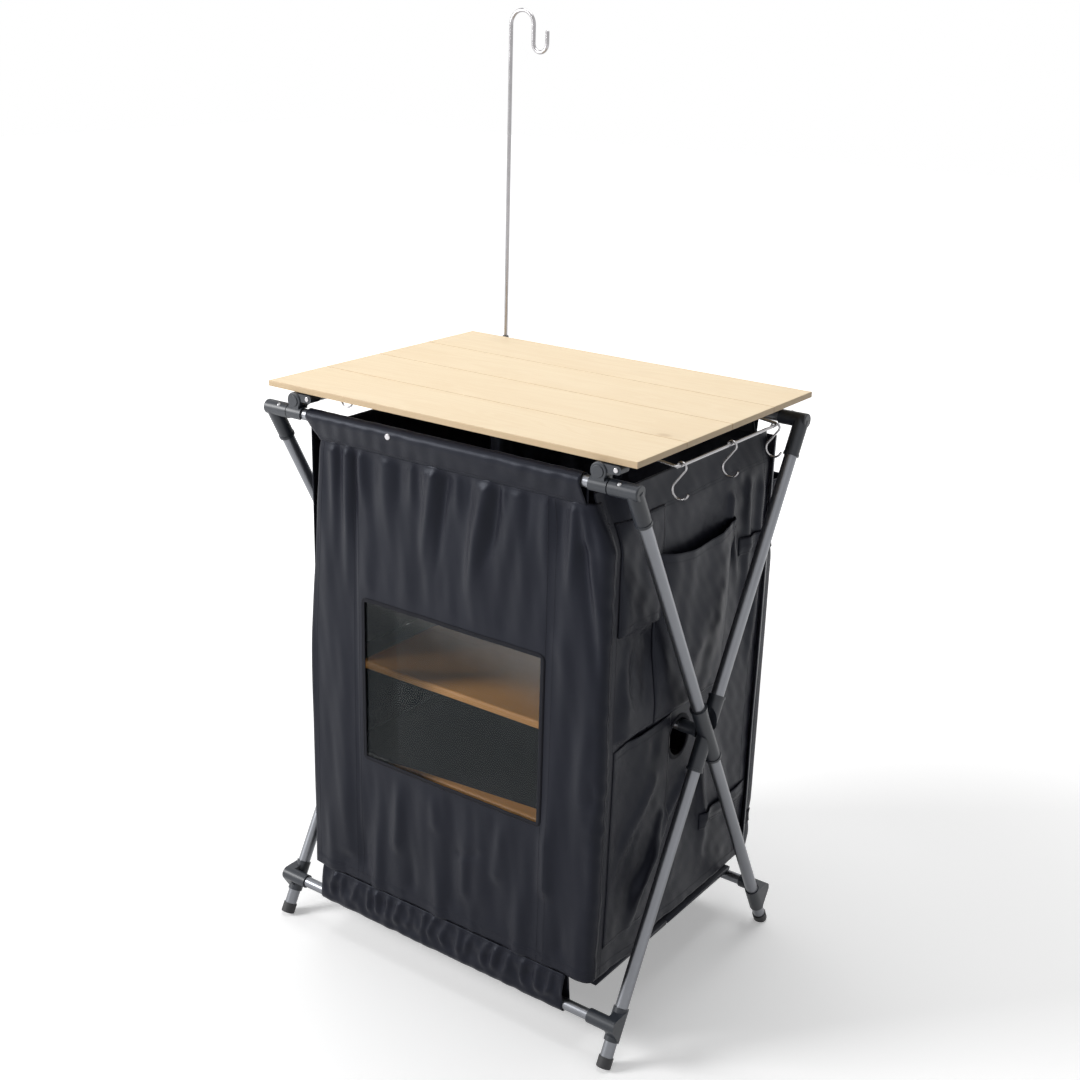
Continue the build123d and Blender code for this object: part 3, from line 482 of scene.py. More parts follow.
@dataclass(frozen=True)
class RoundedBox(Outline):
    """A rectangle with rounded corners."""

    half: Pair = (0.1, 0.1)
    radius: float = 0.006

    def gap(self, a: Array, b: Array) -> Array:
        """Signed distance: that from the smaller sharp rectangle, less the radius.

        Args:
            a: Distance across.
            b: Distance down.

        Returns:
            The distance at each place.
        """
        qa = np.abs(a - self.centre[0]) - self.half[0] + self.radius
        qb = np.abs(b - self.centre[1]) - self.half[1] + self.radius
        outside = np.hypot(np.maximum(qa, 0), np.maximum(qb, 0))
        return outside + np.minimum(np.maximum(qa, qb), 0) - self.radius


@dataclass(frozen=True)
class Keyhole(Outline):
    """A round hole that runs into a smaller one below it, with a soft waist."""

    radius: float = 0.026
    low_centre: Pair = (0.0, 0.0)
    low_radius: float = 0.018
    waist: float = 0.012

    def gap(self, a: Array, b: Array) -> Array:
        """Signed distance: the smooth least of the distances from the two circles.

        Args:
            a: Distance across.
            b: Distance down.

        Returns:
            The distance at each place.
        """
        high = np.hypot(a - self.centre[0], b - self.centre[1]) - self.radius
        low = np.hypot(a - self.low_centre[0], b - self.low_centre[1]) - self.low_radius
        share = np.clip(0.5 + 0.5 * (low - high) / self.waist, 0.0, 1.0)
        return low * (1 - share) + high * share - self.waist * share * (1 - share)


class Cloth:
    """A cloth whose shape is a function of a, across its cut, and b, down it."""

    thickness: float = 0.0012

    def place(self, a: Array, b: Array) -> Array:
        """The point of the cloth at each place of its cut."""
        raise NotImplementedError

    def normal(self, a: Array, b: Array) -> Array:
        """Unit normal of the cloth: the cross product of its slopes down and across.

        Args:
            a: Distance across the cut.
            b: Distance down the cut.

        Returns:
            The normals.
        """
        step = CLOTH_STEP
        across = self.place(a + step, b) - self.place(a - step, b)
        down = self.place(a, b + step) - self.place(a, b - step)
        return unit(np.cross(down, across))

    def sheet(
        self,
        name: str,
        a: Array,
        b: Array,
        hole: Callable[[Array, Array], Array] | None = None,
        ring: bool = False,
    ) -> Piece:
        """Make the cloth over a grid, less a hole where a distance function is negative.

        Args:
            name: Name of the piece.
            a: Grid values across.
            b: Grid values down.
            hole: Signed distance from the outline of the hole, if there is one.
            ring: Whether the last value across is the first one again.

        Returns:
            The piece.
        """
        across = a[:-1] if ring else a
        quads, flat = quads_of(len(b), len(across), ring)
        cut_b, cut_a = (grid.ravel() for grid in np.meshgrid(b, a, indexing="ij"))
        bb, aa = (grid.ravel() for grid in np.meshgrid(b, across, indexing="ij"))
        if hole is not None:
            aa, bb, quads = self.opened(aa, bb, quads, hole, 1.5 * (b[1] - b[0]))
            cut_a, cut_b, flat = aa, bb, quads
        cut = np.stack([cut_a, cut_b], axis=1)[flat]
        return thick_sheet(self.place(aa, bb), quads, cut, self.thickness).make(name)

    @staticmethod
    def opened(
        aa: Array, bb: Array, quads: Array, hole: Callable[[Array, Array], Array], reach: float
    ) -> tuple[Array, Array, Array]:
        """Take the quads inside a hole away and move the points of its rim onto its outline.

        Each rim point slides down the slope of the distance function, a few Newton steps long.

        Args:
            aa: Distances across of the points.
            bb: Distances down of the points.
            quads: The quads.
            hole: Signed distance from the outline of the hole.
            reach: How near the outline a point has to be to move.

        Returns:
            The distances across and down, and the quads that are left.
        """
        quads = quads[hole(aa[quads].mean(axis=1), bb[quads].mean(axis=1)) > 0]
        begin, finish, rim_edge = edges_of(quads, len(aa))
        rim = np.unique(np.concatenate([begin[rim_edge], finish[rim_edge]]))
        near = rim[np.abs(hole(aa[rim], bb[rim])) < reach]
        step = OUTLINE_STEP
        for _ in range(4):
            gap = hole(aa[near], bb[near])
            slope_a = (hole(aa[near] + step, bb[near]) - gap) / step
            slope_b = (hole(aa[near], bb[near] + step) - gap) / step
            size = np.maximum(slope_a**2 + slope_b**2, 1e-6)
            aa[near] -= gap * slope_a / size
            bb[near] -= gap * slope_b / size
        return aa, bb, quads

    def trim(self, name: str, outline: Outline, width: float, proud: float = 0.0008) -> Piece:
        """A tape sewn round an outline in the cloth: a ring carried along it, rounded across its width.

        Args:
            name: Name of the piece.
            outline: The outline, in the cloth's cut.
            width: Width of the tape.
            proud: How far its middle stands out from its edges.

        Returns:
            The piece.
        """
        loop_a, loop_b, out_a, out_b = outline.loop(TAPE_PITCH)
        across = np.linspace(-0.5, 0.5, 7)[:, None]
        a, b = loop_a + out_a * across * width, loop_b + out_b * across * width
        stand = self.thickness / 2 + proud * (1.0 - (2 * across) ** 4)
        points = (self.place(a, b) + self.normal(a, b) * stand[..., None]).reshape(-1, 3)
        quads, flat = quads_of(len(across), len(loop_a), True)
        run = run_along(np.stack([loop_a, loop_b], axis=1))
        grid = grid_of(across[:, 0] * width, np.append(run, run[-1] + TAPE_PITCH))
        cut = grid.reshape(-1, 2)[:, ::-1][flat]
        return thick_sheet(points, quads, cut, TAPE_THICKNESS).make(name)

    def seam(self, a: Array, b: Array, proud: float = 0.0) -> Mesh:
        """A row of stitches along a line of the cut, on the outside of the cloth.

        Args:
            a: Distances across of the line.
            b: Distances down of the line.
            proud: How far the row stands off the cloth.

        Returns:
            The row.
        """
        a, b = np.broadcast_arrays(np.asarray(a, float), np.asarray(b, float))
        normal = self.normal(a, b)
        return stitch_mesh(self.place(a, b) + normal * (self.thickness / 2 + proud), normal)


@dataclass(frozen=True)
class Bend:
    """Where a cloth bends between two bodies that a joint joins, given by the first body, a place across and two
    heights.
    """

    body: str
    y: float
    high: float
    low: float


def wear(
    piece: Piece,
    body: str,
    slot: str,
    finish: Material,
    *nodes: str,
    bend: Bend | None = None,
) -> None:
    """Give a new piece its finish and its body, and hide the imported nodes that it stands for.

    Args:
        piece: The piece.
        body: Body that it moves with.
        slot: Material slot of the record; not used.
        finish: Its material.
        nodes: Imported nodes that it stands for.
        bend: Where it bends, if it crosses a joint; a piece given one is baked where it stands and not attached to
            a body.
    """
    piece.data.materials.clear()
    piece.data.materials.append(finish)
    if bend is None:
        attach(piece, body)
    else:
        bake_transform(piece)
    if nodes:
        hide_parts(*nodes)
    log.info("%s rides on %s, %d faces", piece.name, body, len(piece.data.polygons))


# Finishes


class Value:
    """A shader socket that takes part in Python arithmetic; an expression adds its Math nodes."""

    def __init__(self, graph: "Graph", socket: bpy.types.NodeSocket) -> None:
        """Wrap a socket of a graph."""
        self.graph = graph
        self.socket = socket

    def math(self, operation: str, *others: "Value | float") -> "Value":
        """The result of a Math node on this value and others."""
        inputs = dict(enumerate((self, *others)))
        return self.graph.value("ShaderNodeMath", {"operation": operation}, inputs)

    def __add__(self, other: "Value | float") -> "Value":
        """Sum."""
        return self.math("ADD", other)

    __radd__ = __add__

    def __mul__(self, other: "Value | float") -> "Value":
        """Product."""
        return self.math("MULTIPLY", other)

    __rmul__ = __mul__

    def __sub__(self, other: "Value | float") -> "Value":
        """Difference."""
        return self.math("SUBTRACT", other)

    def __rsub__(self, other: float) -> "Value":
        """Difference from a number."""
        return self.graph.value("ShaderNodeMath", {"operation": "SUBTRACT"}, {0: other, 1: self})

    def __truediv__(self, other: "Value | float") -> "Value":
        """Quotient."""
        return self.math("DIVIDE", other)

    def __pow__(self, other: float) -> "Value":
        """Power."""
        return self.math("POWER", other)

    def sine(self) -> "Value":
        """Sine."""
        return self.math("SINE")

    def wave(self, length: float) -> "Value":
        """Sine of the value, one wave to each length of it."""
        return (self * (2.0 * math.pi / length)).sine()

    def floor(self) -> "Value":
        """The whole number below."""
        return self.math("FLOOR")

    def size(self) -> "Value":
        """Absolute value."""
        return self.math("ABSOLUTE")

    def over(self, low: float, high: float) -> "Value":
        """A smooth step from 0 at low to 1 at high."""
        settings = {"interpolation_type": "SMOOTHSTEP"}
        return self.graph.value("ShaderNodeMapRange", settings, {0: self, 1: low, 2: high, 3: 0.0, 4: 1.0})


class Graph:
    """A material in the making: its nodes, and its Principled shader."""

    def __init__(self, name: str) -> None:
        """Start a material with one Principled shader."""
        self.material = bpy.data.materials.new(name)
        self.material.use_nodes = True
        self.tree = self.material.node_tree
        self.shader = self.tree.nodes["Principled BSDF"]

    def node(
        self,
        kind: str,
        settings: Mapping[str, object] | None = None,
        inputs: Mapping[int | str, object] | None = None,
    ) -> bpy.types.ShaderNode:
        """Make a node.

        Args:
            kind: Type of the node.
            settings: Its properties, set first.
            inputs: The values or links of its sockets.

        Returns:
            The node.
        """
        node = self.tree.nodes.new(kind)
        for key, value in (settings or {}).items():
            setattr(node, key, value)
        for key, value in (inputs or {}).items():
            self.plug(node.inputs[key], value)
        return node

    def plug(self, socket: bpy.types.NodeSocket, value: object) -> None:
        """Set a socket, or link it.

        Args:
            socket: The socket of a node.
            value: A number, a colour or a vector, or a value or socket to link.
        """
        if isinstance(value, Value):
            self.tree.links.new(value.socket, socket)
        elif isinstance(value, bpy.types.NodeSocket):
            self.tree.links.new(value, socket)
        elif isinstance(value, (tuple, list)) and len(value) == 3 and socket.type == "RGBA":
            socket.default_value = (*value, 1.0)
        else:
            socket.default_value = value

    def value(
        self,
        kind: str,
        settings: Mapping[str, object] | None = None,
        inputs: Mapping[int | str, object] | None = None,
        out: int = 0,
    ) -> Value:
        """Make a node and wrap one of its outputs."""
        return Value(self, self.node(kind, settings, inputs).outputs[out])

    def place(self, scale: Triple = (1, 1, 1)) -> Value:
        """Object coordinates, scaled."""
        source = self.node("ShaderNodeTexCoord").outputs["Object"]
        return self.value("ShaderNodeMapping", {}, {0: source, 3: scale})

    def parts(self, source: bpy.types.NodeSocket) -> tuple[Value, Value, Value]:
        """The three parts of a vector."""
        return tuple(Value(self, part) for part in self.node("ShaderNodeSeparateXYZ", {}, {0: source}).outputs)

    def axes(self, output: str = "Object") -> tuple[Value, Value, Value]:
        """The three parts of the object coordinates, or of the normal."""
        return self.parts(self.node("ShaderNodeTexCoord").outputs[output])

    def point(self, x: object, y: object, z: object) -> Value:
        """A vector of three values."""
        return self.value("ShaderNodeCombineXYZ", {}, {0: x, 1: y, 2: z})

    def cut(self) -> tuple[Value, Value]:
        """The flat coordinates of a cloth, across and down, in metres."""
        return self.parts(self.node("ShaderNodeUVMap", {"uv_map": "cut"}).outputs[0])[:2]

    def noise(self, where: Value, scale: float, detail: float = 3.0, rough: float = 0.5) -> Value:
        """Fractal noise between 0 and 1."""
        inputs = {"Vector": where, "Scale": scale, "Detail": detail, "Roughness": rough}
        return self.value("ShaderNodeTexNoise", {}, inputs)

    def blend(self, share: Value | float, first: object, second: object) -> Value:
        """A mix of two colours."""
        return self.value("ShaderNodeMix", {"data_type": "RGBA"}, {0: share, 6: first, 7: second}, out=2)

    def relief(self, height: Value, distance: float, strength: float = 1.0) -> Value:
        """A bumped normal for a height between 0 and 1 that stands for a distance."""
        inputs = {"Strength": strength, "Distance": distance, "Height": height}
        return self.value("ShaderNodeBump", {}, inputs)

    def finish(self, **sockets: object) -> Material:
        """Plug the Principled sockets, named with underscores for spaces, and return the material."""
        for key, value in sockets.items():
            self.plug(self.shader.inputs[key.replace("_", " ")], value)
        return self.material


def shade(colour: Triple, share: float) -> Triple:
    """A colour made darker or lighter."""
    return tuple(part * share for part in colour)


@dataclass(frozen=True)
class AnodisedTube:
    """Satin grey anodised aluminium tube, with a faint drawn grain and a few dull patches."""

    colour: Triple = (0.225, 0.232, 0.252)
    roughness: float = 0.33

    def material(self) -> Material:
        """Build the material."""
        g = Graph("tube")
        where = g.place()
        cloud = g.noise(where, 14.0)
        grain = g.noise(where, 900.0, 2.0)
        dark = shade(self.colour, 0.86)
        light = shade(self.colour, 1.1)
        return g.finish(
            Base_Color=g.blend(cloud, dark, light),
            Metallic=0.82,
            Roughness=self.roughness + (cloud - 0.5) * 0.16 + (grain - 0.5) * 0.06,
            Normal=g.relief(grain, 0.00004, 0.35),
        )


@dataclass(frozen=True)
class MouldedPlastic:
    """Blue-black moulded nylon with a fine spark-eroded grain and slightly rubbed patches."""

    colour: Triple = (0.022, 0.026, 0.034)
    roughness: float = 0.40
    grain: float = 1400.0
    name: str = "moulding"

    def material(self) -> Material:
        """Build the material."""
        g = Graph(self.name)
        where = g.place()
        grain = g.noise(where, self.grain, 3.0, 0.6)
        cloud = g.noise(where, 35.0)
        rubbed = g.noise(where, 9.0, 4.0, 0.65).over(0.55, 0.8)
        pale = tuple(part * 1.9 + 0.006 for part in self.colour)
        return g.finish(
            Base_Color=g.blend(rubbed * 0.5 + cloud * 0.2, self.colour, pale),
            Roughness=self.roughness + (cloud - 0.5) * 0.14 - rubbed * 0.05,
            Normal=g.relief(grain, 0.0001, 0.3),
            Specular_IOR_Level=0.5,
        )


@dataclass(frozen=True)
class SteelWire:
    """Bright stainless wire, lightly drawn, with soft cloudy polish."""

    colour: Triple = (0.42, 0.41, 0.42)
    roughness: float = 0.22
    name: str = "wire"

    def material(self) -> Material:
        """Build the material."""
        g = Graph(self.name)
        where = g.place()
        cloud = g.noise(where, 60.0)
        fine = g.noise(g.place(scale=(1, 1, 0.15)), 1500.0, 2.0)
        dark = shade(self.colour, 0.75)
        return g.finish(
            Base_Color=g.blend(cloud, dark, self.colour),
            Metallic=1.0,
            Roughness=self.roughness + (cloud - 0.5) * 0.12 + (fine - 0.5) * 0.08,
            Normal=g.relief(fine, 0.00003, 0.3),
        )


@dataclass(frozen=True)
class PaleBamboo:
    """Pale bamboo board: long growth streaks, flame figure, pin knots, darker where the ends are cut."""

    light: Triple = (0.90, 0.745, 0.515)
    mid: Triple = (0.80, 0.615, 0.385)
    dark: Triple = (0.50, 0.33, 0.17)
    pitch: float = 0.11275
    first: float = -0.218

    def material(self) -> Material:
        """Build the material; each slat has its own stretch of grain."""
        g = Graph("top")
        x, y, z = g.axes()
        slat = ((y - self.first) / self.pitch).floor()
        bent = g.noise(g.point(x * 1.2 + slat * 3.7, y * 6.0 + slat * 5.3, z * 6.0), 2.0, 2.0)
        figure = g.noise(g.point(x * 0.55 + slat * 1.3, y * 7.0 + bent * 1.5 + slat, z * 7.0), 3.0, 4.0)
        rings = (figure * 52.0).sine() * 0.5 + 0.5
        streak = g.noise(g.point(x * 4.0 + slat * 2.0, y * 330.0, z * 330.0), 1.0, 3.0, 0.6)
        pore = g.noise(g.point(x * 45.0, y * 1300.0, z * 1300.0), 1.0, 1.0).over(0.60, 0.78)
        patch = g.noise(g.point(x * 2.0 + slat * 7.0, y * 5.0, 0.0), 2.0, 2.0)
        cell = g.point(x * 6.0 + 0.35, y * 9.0 + slat * 2.0, 0.0)
        knots = g.node("ShaderNodeTexVoronoi", {}, {"Vector": cell, "Scale": 1.0, "Randomness": 1.0})
        ring = Value(g, knots.outputs["Distance"])
        spot = (1.0 - ring.over(0.02, 0.09)) * 0.75 + (1.0 - ring.over(0.05, 0.30)) * 0.22
        tone = rings * 0.22 + streak * 0.50 + patch * 0.45 - 0.18
        board = g.blend(tone, self.light, self.mid)
        board = g.blend(spot * 0.55 + pore * 0.10, board, self.dark)
        nx, ny, _ = g.axes("Normal")
        cut = nx.size().over(0.6, 0.9) * 0.45 + ny.size().over(0.6, 0.9) * 0.22
        share = (y - self.first) / self.pitch - slat
        joint = 1.0 - (0.5 - (share - 0.5).size()).over(0.004, 0.014)
        board = g.blend(cut.math("MAXIMUM", joint * 0.55), board, self.dark)
        return g.finish(
            Base_Color=board,
            Roughness=0.48 + (streak - 0.5) * 0.14 + pore * 0.1,
            Normal=g.relief(streak * 0.6 - pore * 0.6, 0.00012, 0.35),
            Coat_Roughness=0.4,
            Coat_Weight=0.06,
        )


@dataclass(frozen=True)
class ShelfBoard:
    """The boards of the shelves: oiled bamboo, with painted shade in a dark colour over their ends, and over the
    lower one behind a slanted line.
    """

    light: Triple = (0.95, 0.49, 0.15)
    dark: Triple = (0.78, 0.36, 0.09)
    # tape is the dark colour of the painted shade, on the ends of the boards and on the lower board
    tape: Triple = (0.020, 0.020, 0.022)
    # painted shade on the lower board: below this height, and behind a slanted line given by the edge, corner and
    # slant
    liner_top: float = 0.300
    liner_edge: float = -0.122
    liner_corner: float = 0.170
    liner_slant: float = 0.09
    # wrap: distance from the middle beyond which the ends of the boards get painted shade, as do their faces
    # towards the sides
    wrap: float = 0.196
    layer: float = 0.003

    def material(self) -> Material:
        """Build the material: long figure across the width, layers on the edges."""
        g = Graph("shelf")
        x, y, z = g.axes()
        nx, _, nz = g.axes("Normal")
        streak = g.noise(g.point(x * 2.5, y * 60.0, z * 60.0), 1.0, 4.0, 0.6)
        cloud = g.noise(g.point(x, y, z), 7.0)
        edge = 1.0 - nz.size().over(0.4, 0.7)
        layers = z.wave(self.layer) * 0.5 + 0.5
        board = g.blend(streak * 0.6 + cloud * 0.4, self.light, self.dark)
        board = g.blend(edge * layers * 0.5, board, shade(self.dark, 0.5))
        # painted shade over the lower board behind a slanted line, where the inside of the cupboard is in shade
        behind = y - self.liner_edge + (self.liner_corner - x) * self.liner_slant
        painted_shade_mask = (1.0 - z.over(self.liner_top - 0.001, self.liner_top)) * behind.over(-0.001, 0.001)
        # painted shade on the ends of the boards, by the sides of the cupboard
        ends = nx.size().over(0.5, 0.7).math("MAXIMUM", x.size().over(self.wrap, self.wrap + 0.001))
        board = g.blend(ends.math("MAXIMUM", painted_shade_mask), board, self.tape)
        return g.finish(
            Base_Color=board,
            Roughness=0.5 + (streak - 0.5) * 0.1,
            Normal=g.relief(streak, 0.0001, 0.3),
        )


@dataclass(frozen=True)
class WovenCloth:
    """Coated charcoal polyester in a close plain weave, with a satin sheen along its folds."""

    colour: Triple = (0.0095, 0.0100, 0.0160)
    thread: float = 0.0007
    roughness: float = 0.38
    sheen: float = 0.03
    name: str = "cloth"

    def material(self) -> Material:
        """Build the material: threads over and under on the cut's own coordinates, cloudy dye."""
        g = Graph(self.name)
        a, b = g.cut()
        over = a.wave(2 * self.thread) * b.wave(2 * self.thread) * 0.5 + 0.5
        weave = b.wave(self.thread) * over + a.wave(self.thread) * (1.0 - over)
        where = g.place()
        cloud = g.noise(where, 11.0, 4.0, 0.55)
        slub = g.noise(where, 260.0, 2.0)
        dark = shade(self.colour, 0.78)
        light = shade(self.colour, 1.22)
        return g.finish(
            Base_Color=g.blend(cloud * 0.7 + slub * 0.2 + (weave + 1.0) * 0.05, dark, light),
            Roughness=self.roughness + (cloud - 0.5) * 0.12 + (slub - 0.5) * 0.08,
            Normal=g.relief(weave * 0.5 + slub * 0.4, 0.00008, 0.5),
            Specular_IOR_Level=0.17,
            Specular_Tint=(0.80, 0.86, 1.0, 1.0),
            Sheen_Weight=self.sheen,
            Sheen_Roughness=0.35,
            Sheen_Tint=(0.75, 0.78, 0.9),
        )


@dataclass(frozen=True)
class Webbing:
    """Woven tape and thread: ribs across its length."""

    colour: Triple = (0.0095, 0.0100, 0.0140)
    name: str = "binding"
    rib: Pair = (0.0014, 0.0011)

    def material(self) -> Material:
        """Build the material."""
        g = Graph(self.name)
        a, b = g.cut()
        ribs = a.wave(self.rib[0]) * b.wave(self.rib[1])
        fuzz = g.noise(g.place(), 700.0)
        light = shade(self.colour, 1.6)
        return g.finish(
            Base_Color=g.blend(fuzz * 0.6 + (ribs + 1.0) * 0.15, self.colour, light),
            Roughness=0.72 + (fuzz - 0.5) * 0.15,
            Normal=g.relief(ribs * 0.5 + fuzz * 0.5, 0.0002, 0.6),
            Sheen_Weight=0.03,
            Specular_IOR_Level=0.15,
        )


@dataclass(frozen=True)
class WindowVinyl:
    """Clear vinyl film gone slightly milky, with soft waves that catch the light."""

    haze: Triple = (0.034, 0.048, 0.056)
    pale: Triple = (0.17, 0.155, 0.14)

    def material(self) -> Material:
        """Build the material: thin haze over what lies behind, paler and less clear towards its upper right."""
        g = Graph("film")
        x, y, z = g.axes()
        cloud = g.noise(g.point(x * 5.0, y, z * 3.0), 1.6, 1.0)
        crease = (x + z * 0.03 + 0.062).over(-0.001, 0.002)
        high = ((z - 0.535) + (x - 0.02) * 0.30).over(-0.03, 0.08)
        return g.finish(
            Base_Color=g.blend(high * 0.7 + cloud * 0.2, self.haze, self.pale),
            Alpha=0.12 + high * 0.36 + (cloud - 0.5) * 0.08 + crease * 0.05,
            Roughness=0.12 + cloud * 0.08,
            Normal=g.relief(cloud * 0.6 + crease * 0.1, 0.002, 0.12),
            IOR=1.45,
        )


@dataclass(frozen=True)
class StudioFloor:
    """Pale floor that keeps the shadow of the cupboard and turns white towards the backdrop."""

    colour: Triple = (0.93, 0.93, 0.93)
    near: float = 0.34
    reach: Pair = (0.7, 2.4)

    def material(self) -> Material:
        """Build the material: seen directly, a glow that grows with the distance from the middle."""
        g = Graph("floor")
        x, y, _ = g.axes()
        far = ((x * x + y * y) ** 0.5).over(*self.reach)
        path = g.node("ShaderNodeLightPath")
        camera, through, mirrored = (
            Value(g, path.outputs[f"Is {ray} Ray"]) for ray in ("Camera", "Transmission", "Glossy")
        )
        seen = camera.math("MAXIMUM", through).math("MAXIMUM", mirrored)
        glow = seen * (far * (1.0 - self.near) + self.near)
        return g.finish(
            Base_Color=self.colour,
            Roughness=0.9,
            Emission_Color=g.point(glow, glow, glow),
            Emission_Strength=1.0,
        )


@dataclass
class Finishes:
    """All the finishes of the cupboard, made once."""

    tube: Material = field(default_factory=AnodisedTube().material)
    moulding: Material = field(default_factory=MouldedPlastic().material)
    foot: Material = field(default_factory=MouldedPlastic((0.030, 0.030, 0.032), 0.62, 900.0, "foot").material)
    button: Material = field(default_factory=SteelWire((0.42, 0.42, 0.43), 0.28, "button").material)
    wire: Material = field(default_factory=SteelWire().material)
    top: Material = field(default_factory=PaleBamboo().material)
    shelf: Material = field(default_factory=ShelfBoard().material)
    cloth: Material = field(default_factory=WovenCloth().material)
    thread: Material = field(default_factory=Webbing((0.020, 0.020, 0.026), "thread").material)
    binding: Material = field(default_factory=Webbing().material)
    film: Material = field(default_factory=WindowVinyl().material)
    cord: Material = field(default_factory=MouldedPlastic((0.020, 0.020, 0.020), 0.7, 1800.0, "cord").material)
    floor: Material = field(default_factory=StudioFloor().material)


# Cloth of the cupboard


def right_edge(z: Array) -> Array:
    """How far right the front door's corner stands: drawn in under the band and at the foot.

    Args:
        z: Height above the floor.

    Returns:
        The distance right of the middle at each height.
    """
    neck = 0.030 * smoothstep(0.715, 0.802, z)
    return 0.2635 - neck + 0.0015 * bump(0.41, 0.08, z) - 0.003 * smoothstep(0.26, 0.10, z)


@dataclass
class FrontDoor(Cloth):
    """The front curtain, a flat sheet hung from the band, whose right edge turns round the corner.

    Across is the distance right of the frame's middle and down is the drop from the band. Left of the
    window the cloth is drawn in towards its top; right of it, it goes on round an arc to the side.
    """

    finishes: Finishes
    top: float = 0.7835
    drop: float = 0.6705
    left: float = -0.2325
    right: float = 0.2525
    corner: float = 0.010
    lap: float = 0.005
    hem: float = 0.014
    bend: Bend = Bend("front_curtain", -PANEL_Y, 0.7812, 0.7580)
    window: RoundedBox = RoundedBox((0.018, 0.3385), (0.153, 0.122), 0.005)
    binding: float = 0.006
    seams: Pair = (-0.148, 0.178)
    left_edge: Pair = (-0.2375, -0.2050)
    seam_half: float = 0.0045
    folds: tuple[Fold, ...] = (
        Fold(((-0.207, 0.780), (-0.212, 0.700), (-0.222, 0.600)), 0.012, 0.004),
        Fold(((-0.183, 0.790), (-0.184, 0.690), (-0.186, 0.600)), 0.008, 0.005),
        Fold(((-0.172, 0.786), (-0.173, 0.700)), 0.005, -0.003),
        Fold(((-0.160, 0.784), (-0.161, 0.671), (-0.163, 0.560)), 0.008, 0.005),
        Fold(((-0.148, 0.786), (-0.147, 0.640)), 0.0045, -0.0045),
        Fold(((-0.136, 0.778), (-0.135, 0.690)), 0.008, 0.005),
        Fold(((-0.115, 0.786), (-0.117, 0.660)), 0.010, -0.003),
        Fold(((-0.092, 0.786), (-0.096, 0.640)), 0.014, 0.004),
        Fold(((-0.068, 0.786), (-0.071, 0.690)), 0.008, -0.003),
        Fold(((-0.045, 0.788), (-0.047, 0.700)), 0.007, 0.004),
        Fold(((-0.022, 0.788), (-0.026, 0.720)), 0.006, 0.003),
        Fold(((-0.007, 0.780), (-0.022, 0.696), (-0.036, 0.610)), 0.009, 0.006),
        Fold(((0.012, 0.782), (0.001, 0.701), (-0.012, 0.595)), 0.007, -0.005),
        Fold(((0.031, 0.788), (0.027, 0.700)), 0.008, 0.004),
        Fold(((0.053, 0.788), (0.048, 0.710)), 0.006, -0.003),
        Fold(((0.082, 0.780), (0.065, 0.715), (0.042, 0.585)), 0.011, 0.007, 0.0, 0.45),
        Fold(((0.095, 0.778), (0.087, 0.708), (0.066, 0.640)), 0.008, -0.005),
        Fold(((0.106, 0.788), (0.103, 0.735)), 0.006, 0.003),
        Fold(((0.125, 0.775), (0.106, 0.670), (0.098, 0.590)), 0.012, 0.004),
        Fold(((0.143, 0.788), (0.139, 0.690)), 0.007, -0.003),
        Fold(((0.169, 0.788), (0.166, 0.660)), 0.010, 0.004),
        Fold(((0.192, 0.786), (0.190, 0.690)), 0.008, -0.004),
        Fold(((0.213, 0.784), (0.212, 0.725), (0.205, 0.640)), 0.008, 0.007),
        Fold(((0.228, 0.740), (0.232, 0.690), (0.248, 0.585), (0.262, 0.520)), 0.009, -0.006, 0.1, 0.5),
        Fold(((0.223, 0.784), (0.240, 0.702), (0.258, 0.610)), 0.006, 0.005),
        Fold(((0.190, 0.620), (0.205, 0.560), (0.214, 0.470)), 0.012, 0.003, 0.3),
        Fold(((0.240, 0.500), (0.236, 0.400), (0.240, 0.300)), 0.010, 0.003, 0.3),
        Fold(((0.254, 0.420), (0.256, 0.391), (0.254, 0.360)), 0.005, -0.003, 0.3),
        Fold(((0.262, 0.360), (0.262, 0.342), (0.258, 0.320)), 0.004, -0.003, 0.3),
        Fold(((-0.171, 0.160), (-0.171, 0.240), (-0.175, 0.330)), 0.014, 0.005),
        Fold(((-0.205, 0.115), (-0.203, 0.200), (-0.200, 0.300)), 0.012, 0.004),
        Fold(((-0.140, 0.113), (-0.138, 0.230)), 0.010, -0.004),
        Fold(((-0.115, 0.118), (-0.112, 0.210), (-0.110, 0.290)), 0.010, 0.004),
        Fold(((-0.077, 0.180), (-0.072, 0.320)), 0.010, 0.005, 0.2, 0.5),
        Fold(((-0.050, 0.113), (-0.046, 0.220)), 0.010, -0.004),
        Fold(((-0.005, 0.242), (-0.010, 0.318)), 0.009, 0.003, 0.3, 0.5),
        Fold(((0.004, 0.113), (0.004, 0.210)), 0.013, 0.004),
        Fold(((0.028, 0.227), (0.055, 0.233), (0.084, 0.248)), 0.007, -0.002, 0.2, 0.6),
        Fold(((0.045, 0.150), (0.047, 0.200), (0.051, 0.292)), 0.010, 0.005, 0.2),
        Fold(((0.074, 0.113), (0.076, 0.190)), 0.009, -0.003),
        Fold(((0.100, 0.200), (0.110, 0.313)), 0.010, 0.004, 0.2, 0.6),
        Fold(((0.140, 0.113), (0.146, 0.240)), 0.012, 0.004),
        Fold(((0.184, 0.210), (0.183, 0.300), (0.183, 0.383)), 0.010, 0.006, 0.15, 0.6),
        Fold(((0.212, 0.113), (0.215, 0.230)), 0.011, -0.004),
        Fold(((0.240, 0.118), (0.243, 0.220), (0.240, 0.300)), 0.010, 0.003),
    )

